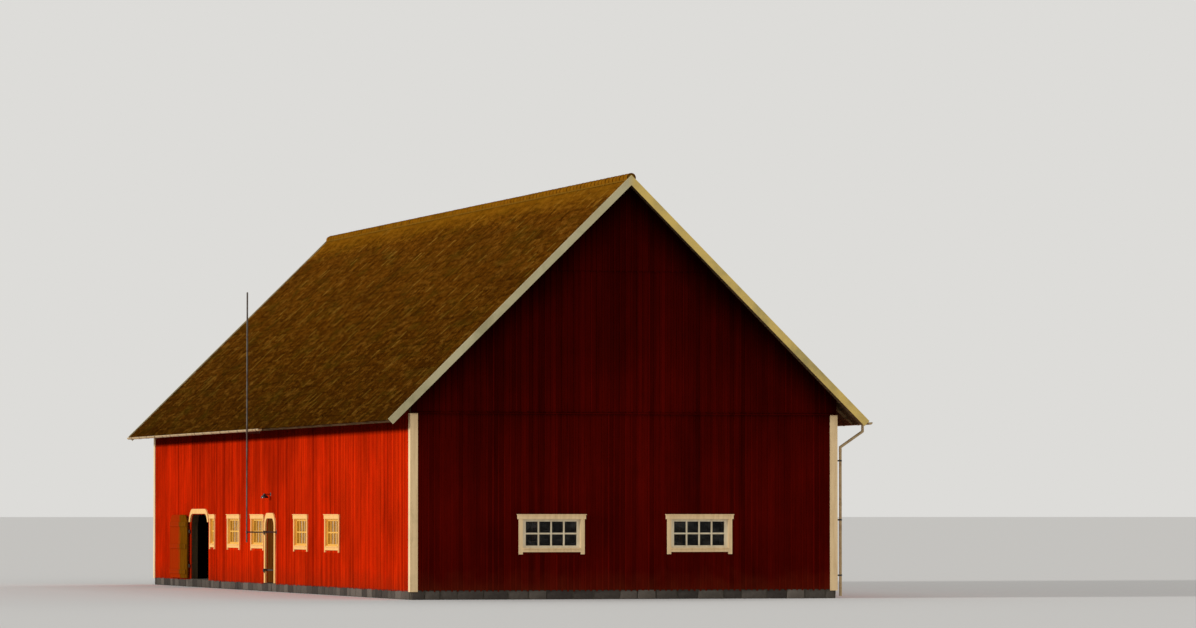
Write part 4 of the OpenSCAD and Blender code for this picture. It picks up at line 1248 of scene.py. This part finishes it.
# A collar stands out from the pipe so far at its lower and at its upper end
COLLAR_LOW, COLLAR_TOP, COLLAR_H = 0.004, 0.002, 0.07
COLLAR_ZS = (0.95, 2.55, 4.0)
gutters = bmesh.new()
for node_name, side in (("west_gutter", -1), ("east_gutter", 1)):
    low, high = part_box(node_name)
    rim_x = (low.x if side < 0 else high.x) - side * BEAD_R
    run = Matrix.Translation((rim_x, (low.y + high.y) / 2, high.z)) @ Matrix.Rotation(math.pi / 2, 4, "X")
    bmesh.ops.create_cone(gutters, cap_ends=True, segments=10, radius1=BEAD_R, radius2=BEAD_R,
                          depth=high.y - low.y, matrix=run)
pipe_low, pipe_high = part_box("downpipe")
pipe_x, pipe_y = pipe_low.x + PIPE_R, (pipe_low.y + pipe_high.y) / 2
for z in COLLAR_ZS:
    collar = Matrix.Translation((pipe_x, pipe_y, z))
    bmesh.ops.create_cone(gutters, cap_ends=True, segments=24, radius1=PIPE_R + COLLAR_LOW,
                          radius2=PIPE_R + COLLAR_TOP, depth=COLLAR_H, matrix=collar)
gutter_piece = make_piece("gutter_beads_and_collars", gutters, "barn", "painted_sheet", gutter_sheet)
print("gutter details", count(gutter_piece), "triangles")

# %% Lamp bulb
OPAL_MM = 12
SHADE_R = 0.110
BULB_DROP = 0.086
bulb_glass, tree, shader, place = new_finish("opal_bulb_glass", "#e8e0cc", 0.25)
cloud = add(tree, "TexNoise", {}, {"Vector": place, "Scale": 1000 / OPAL_MM, "Detail": 2})
opal = add(tree, "ValToRGB", {"stops": [(0.3, "#ddd2b8"), (0.7, "#efe8d8")]}, {"Fac": cloud})
feed(tree, shader, {"Base Color": opal})
lamp_low, lamp_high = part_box("wall_lamp")
lamp_x = lamp_low.x + SHADE_R
lamp_z = lamp_high.z - BULB_DROP
# The pear from its neck to its tip: radius and height
PEAR = ((0.013, 0.006), (0.016, -0.004), (0.0225, -0.016), (0.0232, -0.024), (0.019, -0.032),
        (0.010, -0.0365), (0.0, -0.038))
bulb = bmesh.new()
profile = [bulb.verts.new((lamp_x + r, -small_mid, lamp_z + z)) for r, z in PEAR]
edges = [bulb.edges.new(pair) for pair in zip(profile, profile[1:])]
bmesh.ops.spin(bulb, geom=profile + edges, cent=(lamp_x, -small_mid, 0), axis=(0, 0, 1), angle=2 * math.pi,
               steps=16, use_merge=True, use_duplicate=False)
bmesh.ops.remove_doubles(bulb, verts=bulb.verts, dist=1e-5)
bmesh.ops.holes_fill(bulb, edges=[e for e in bulb.edges if e.is_boundary], sides=0)
bmesh.ops.recalc_face_normals(bulb, faces=bulb.faces)
shade_smooth(bulb)
bulb_piece = make_piece("lamp_bulb", bulb, "barn", "lamp_enamel", bulb_glass)
print("bulb", count(bulb_piece), "triangles")

# %% [markdown]
# A big soft floor and an even pale world stand in for a studio. The floor reaches so far that its edge
# lies at the horizon from every side. The key light comes low from the left, as the evening sun does in
# the photo, so the gable stays in shade and the west side glows. Two wide, weak lights keep the shaded
# sides readable, and all together they leave a sunlit colour about as it is written.

# %% Studio floor
FLOOR_REACH = 6000
floor_bm = bmesh.new()
bmesh.ops.create_grid(floor_bm, x_segments=1, y_segments=1, size=FLOOR_REACH)
floor_mesh = bpy.data.meshes.new("studio_floor")
floor_bm.to_mesh(floor_mesh)
floor_bm.free()
studio_floor = bpy.data.objects.new("studio_floor", floor_mesh)
scene.collection.objects.link(studio_floor)
floor_finish, tree, shader, place = new_finish("studio_floor", "#d8d6d2", 0.9, gloss=0.0)
floor_mesh.materials.append(floor_finish)
studio_floor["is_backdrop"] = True
print("studio floor reaches", FLOOR_REACH, "metres")

# %% Evening light


def sun(name, direction, strength, angle):
    """A sun whose light comes from that direction."""
    light = bpy.data.lights.new(name, "SUN")
    light.energy = strength
    light.angle = math.radians(angle)
    obj = bpy.data.objects.new(name, light)
    obj.rotation_euler = Vector(direction).to_track_quat("Z", "Y").to_euler()
    scene.collection.objects.link(obj)


sun("evening_key", (-0.93, -0.06, 0.24), 2.3, 8)
sun("front_fill", (0.25, -1.0, 0.35), 0.30, 40)
sun("far_side_fill", (0.8, 0.5, 0.5), 0.6, 40)

# %% Pale world
world = bpy.data.worlds.new("studio_world")
scene.world = world
world.use_nodes = True
tree = world.node_tree
tree.nodes.clear()
path = add(tree, "LightPath")
seen = path.outputs["Is Camera Ray"]
for ray in ("Is Glossy Ray", "Is Transmission Ray"):
    seen = add(tree, "Math", {"operation": "MAXIMUM"}, {0: seen, 1: path.outputs[ray]})
soft_light = add(tree, "Background", inputs={"Color": linear("#ffffff"), "Strength": 0.5})
backdrop = add(tree, "Background", inputs={"Color": linear("#dddcd9"), "Strength": 1.0})
blend = add(tree, "MixShader", inputs={0: seen, 1: soft_light, 2: backdrop})
add(tree, "OutputWorld", inputs={"Surface": blend})
print("world nodes:", len(tree.nodes))

# %% Measure and hand over
low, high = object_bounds()
print("visual box in metres:", list(low), list(high))
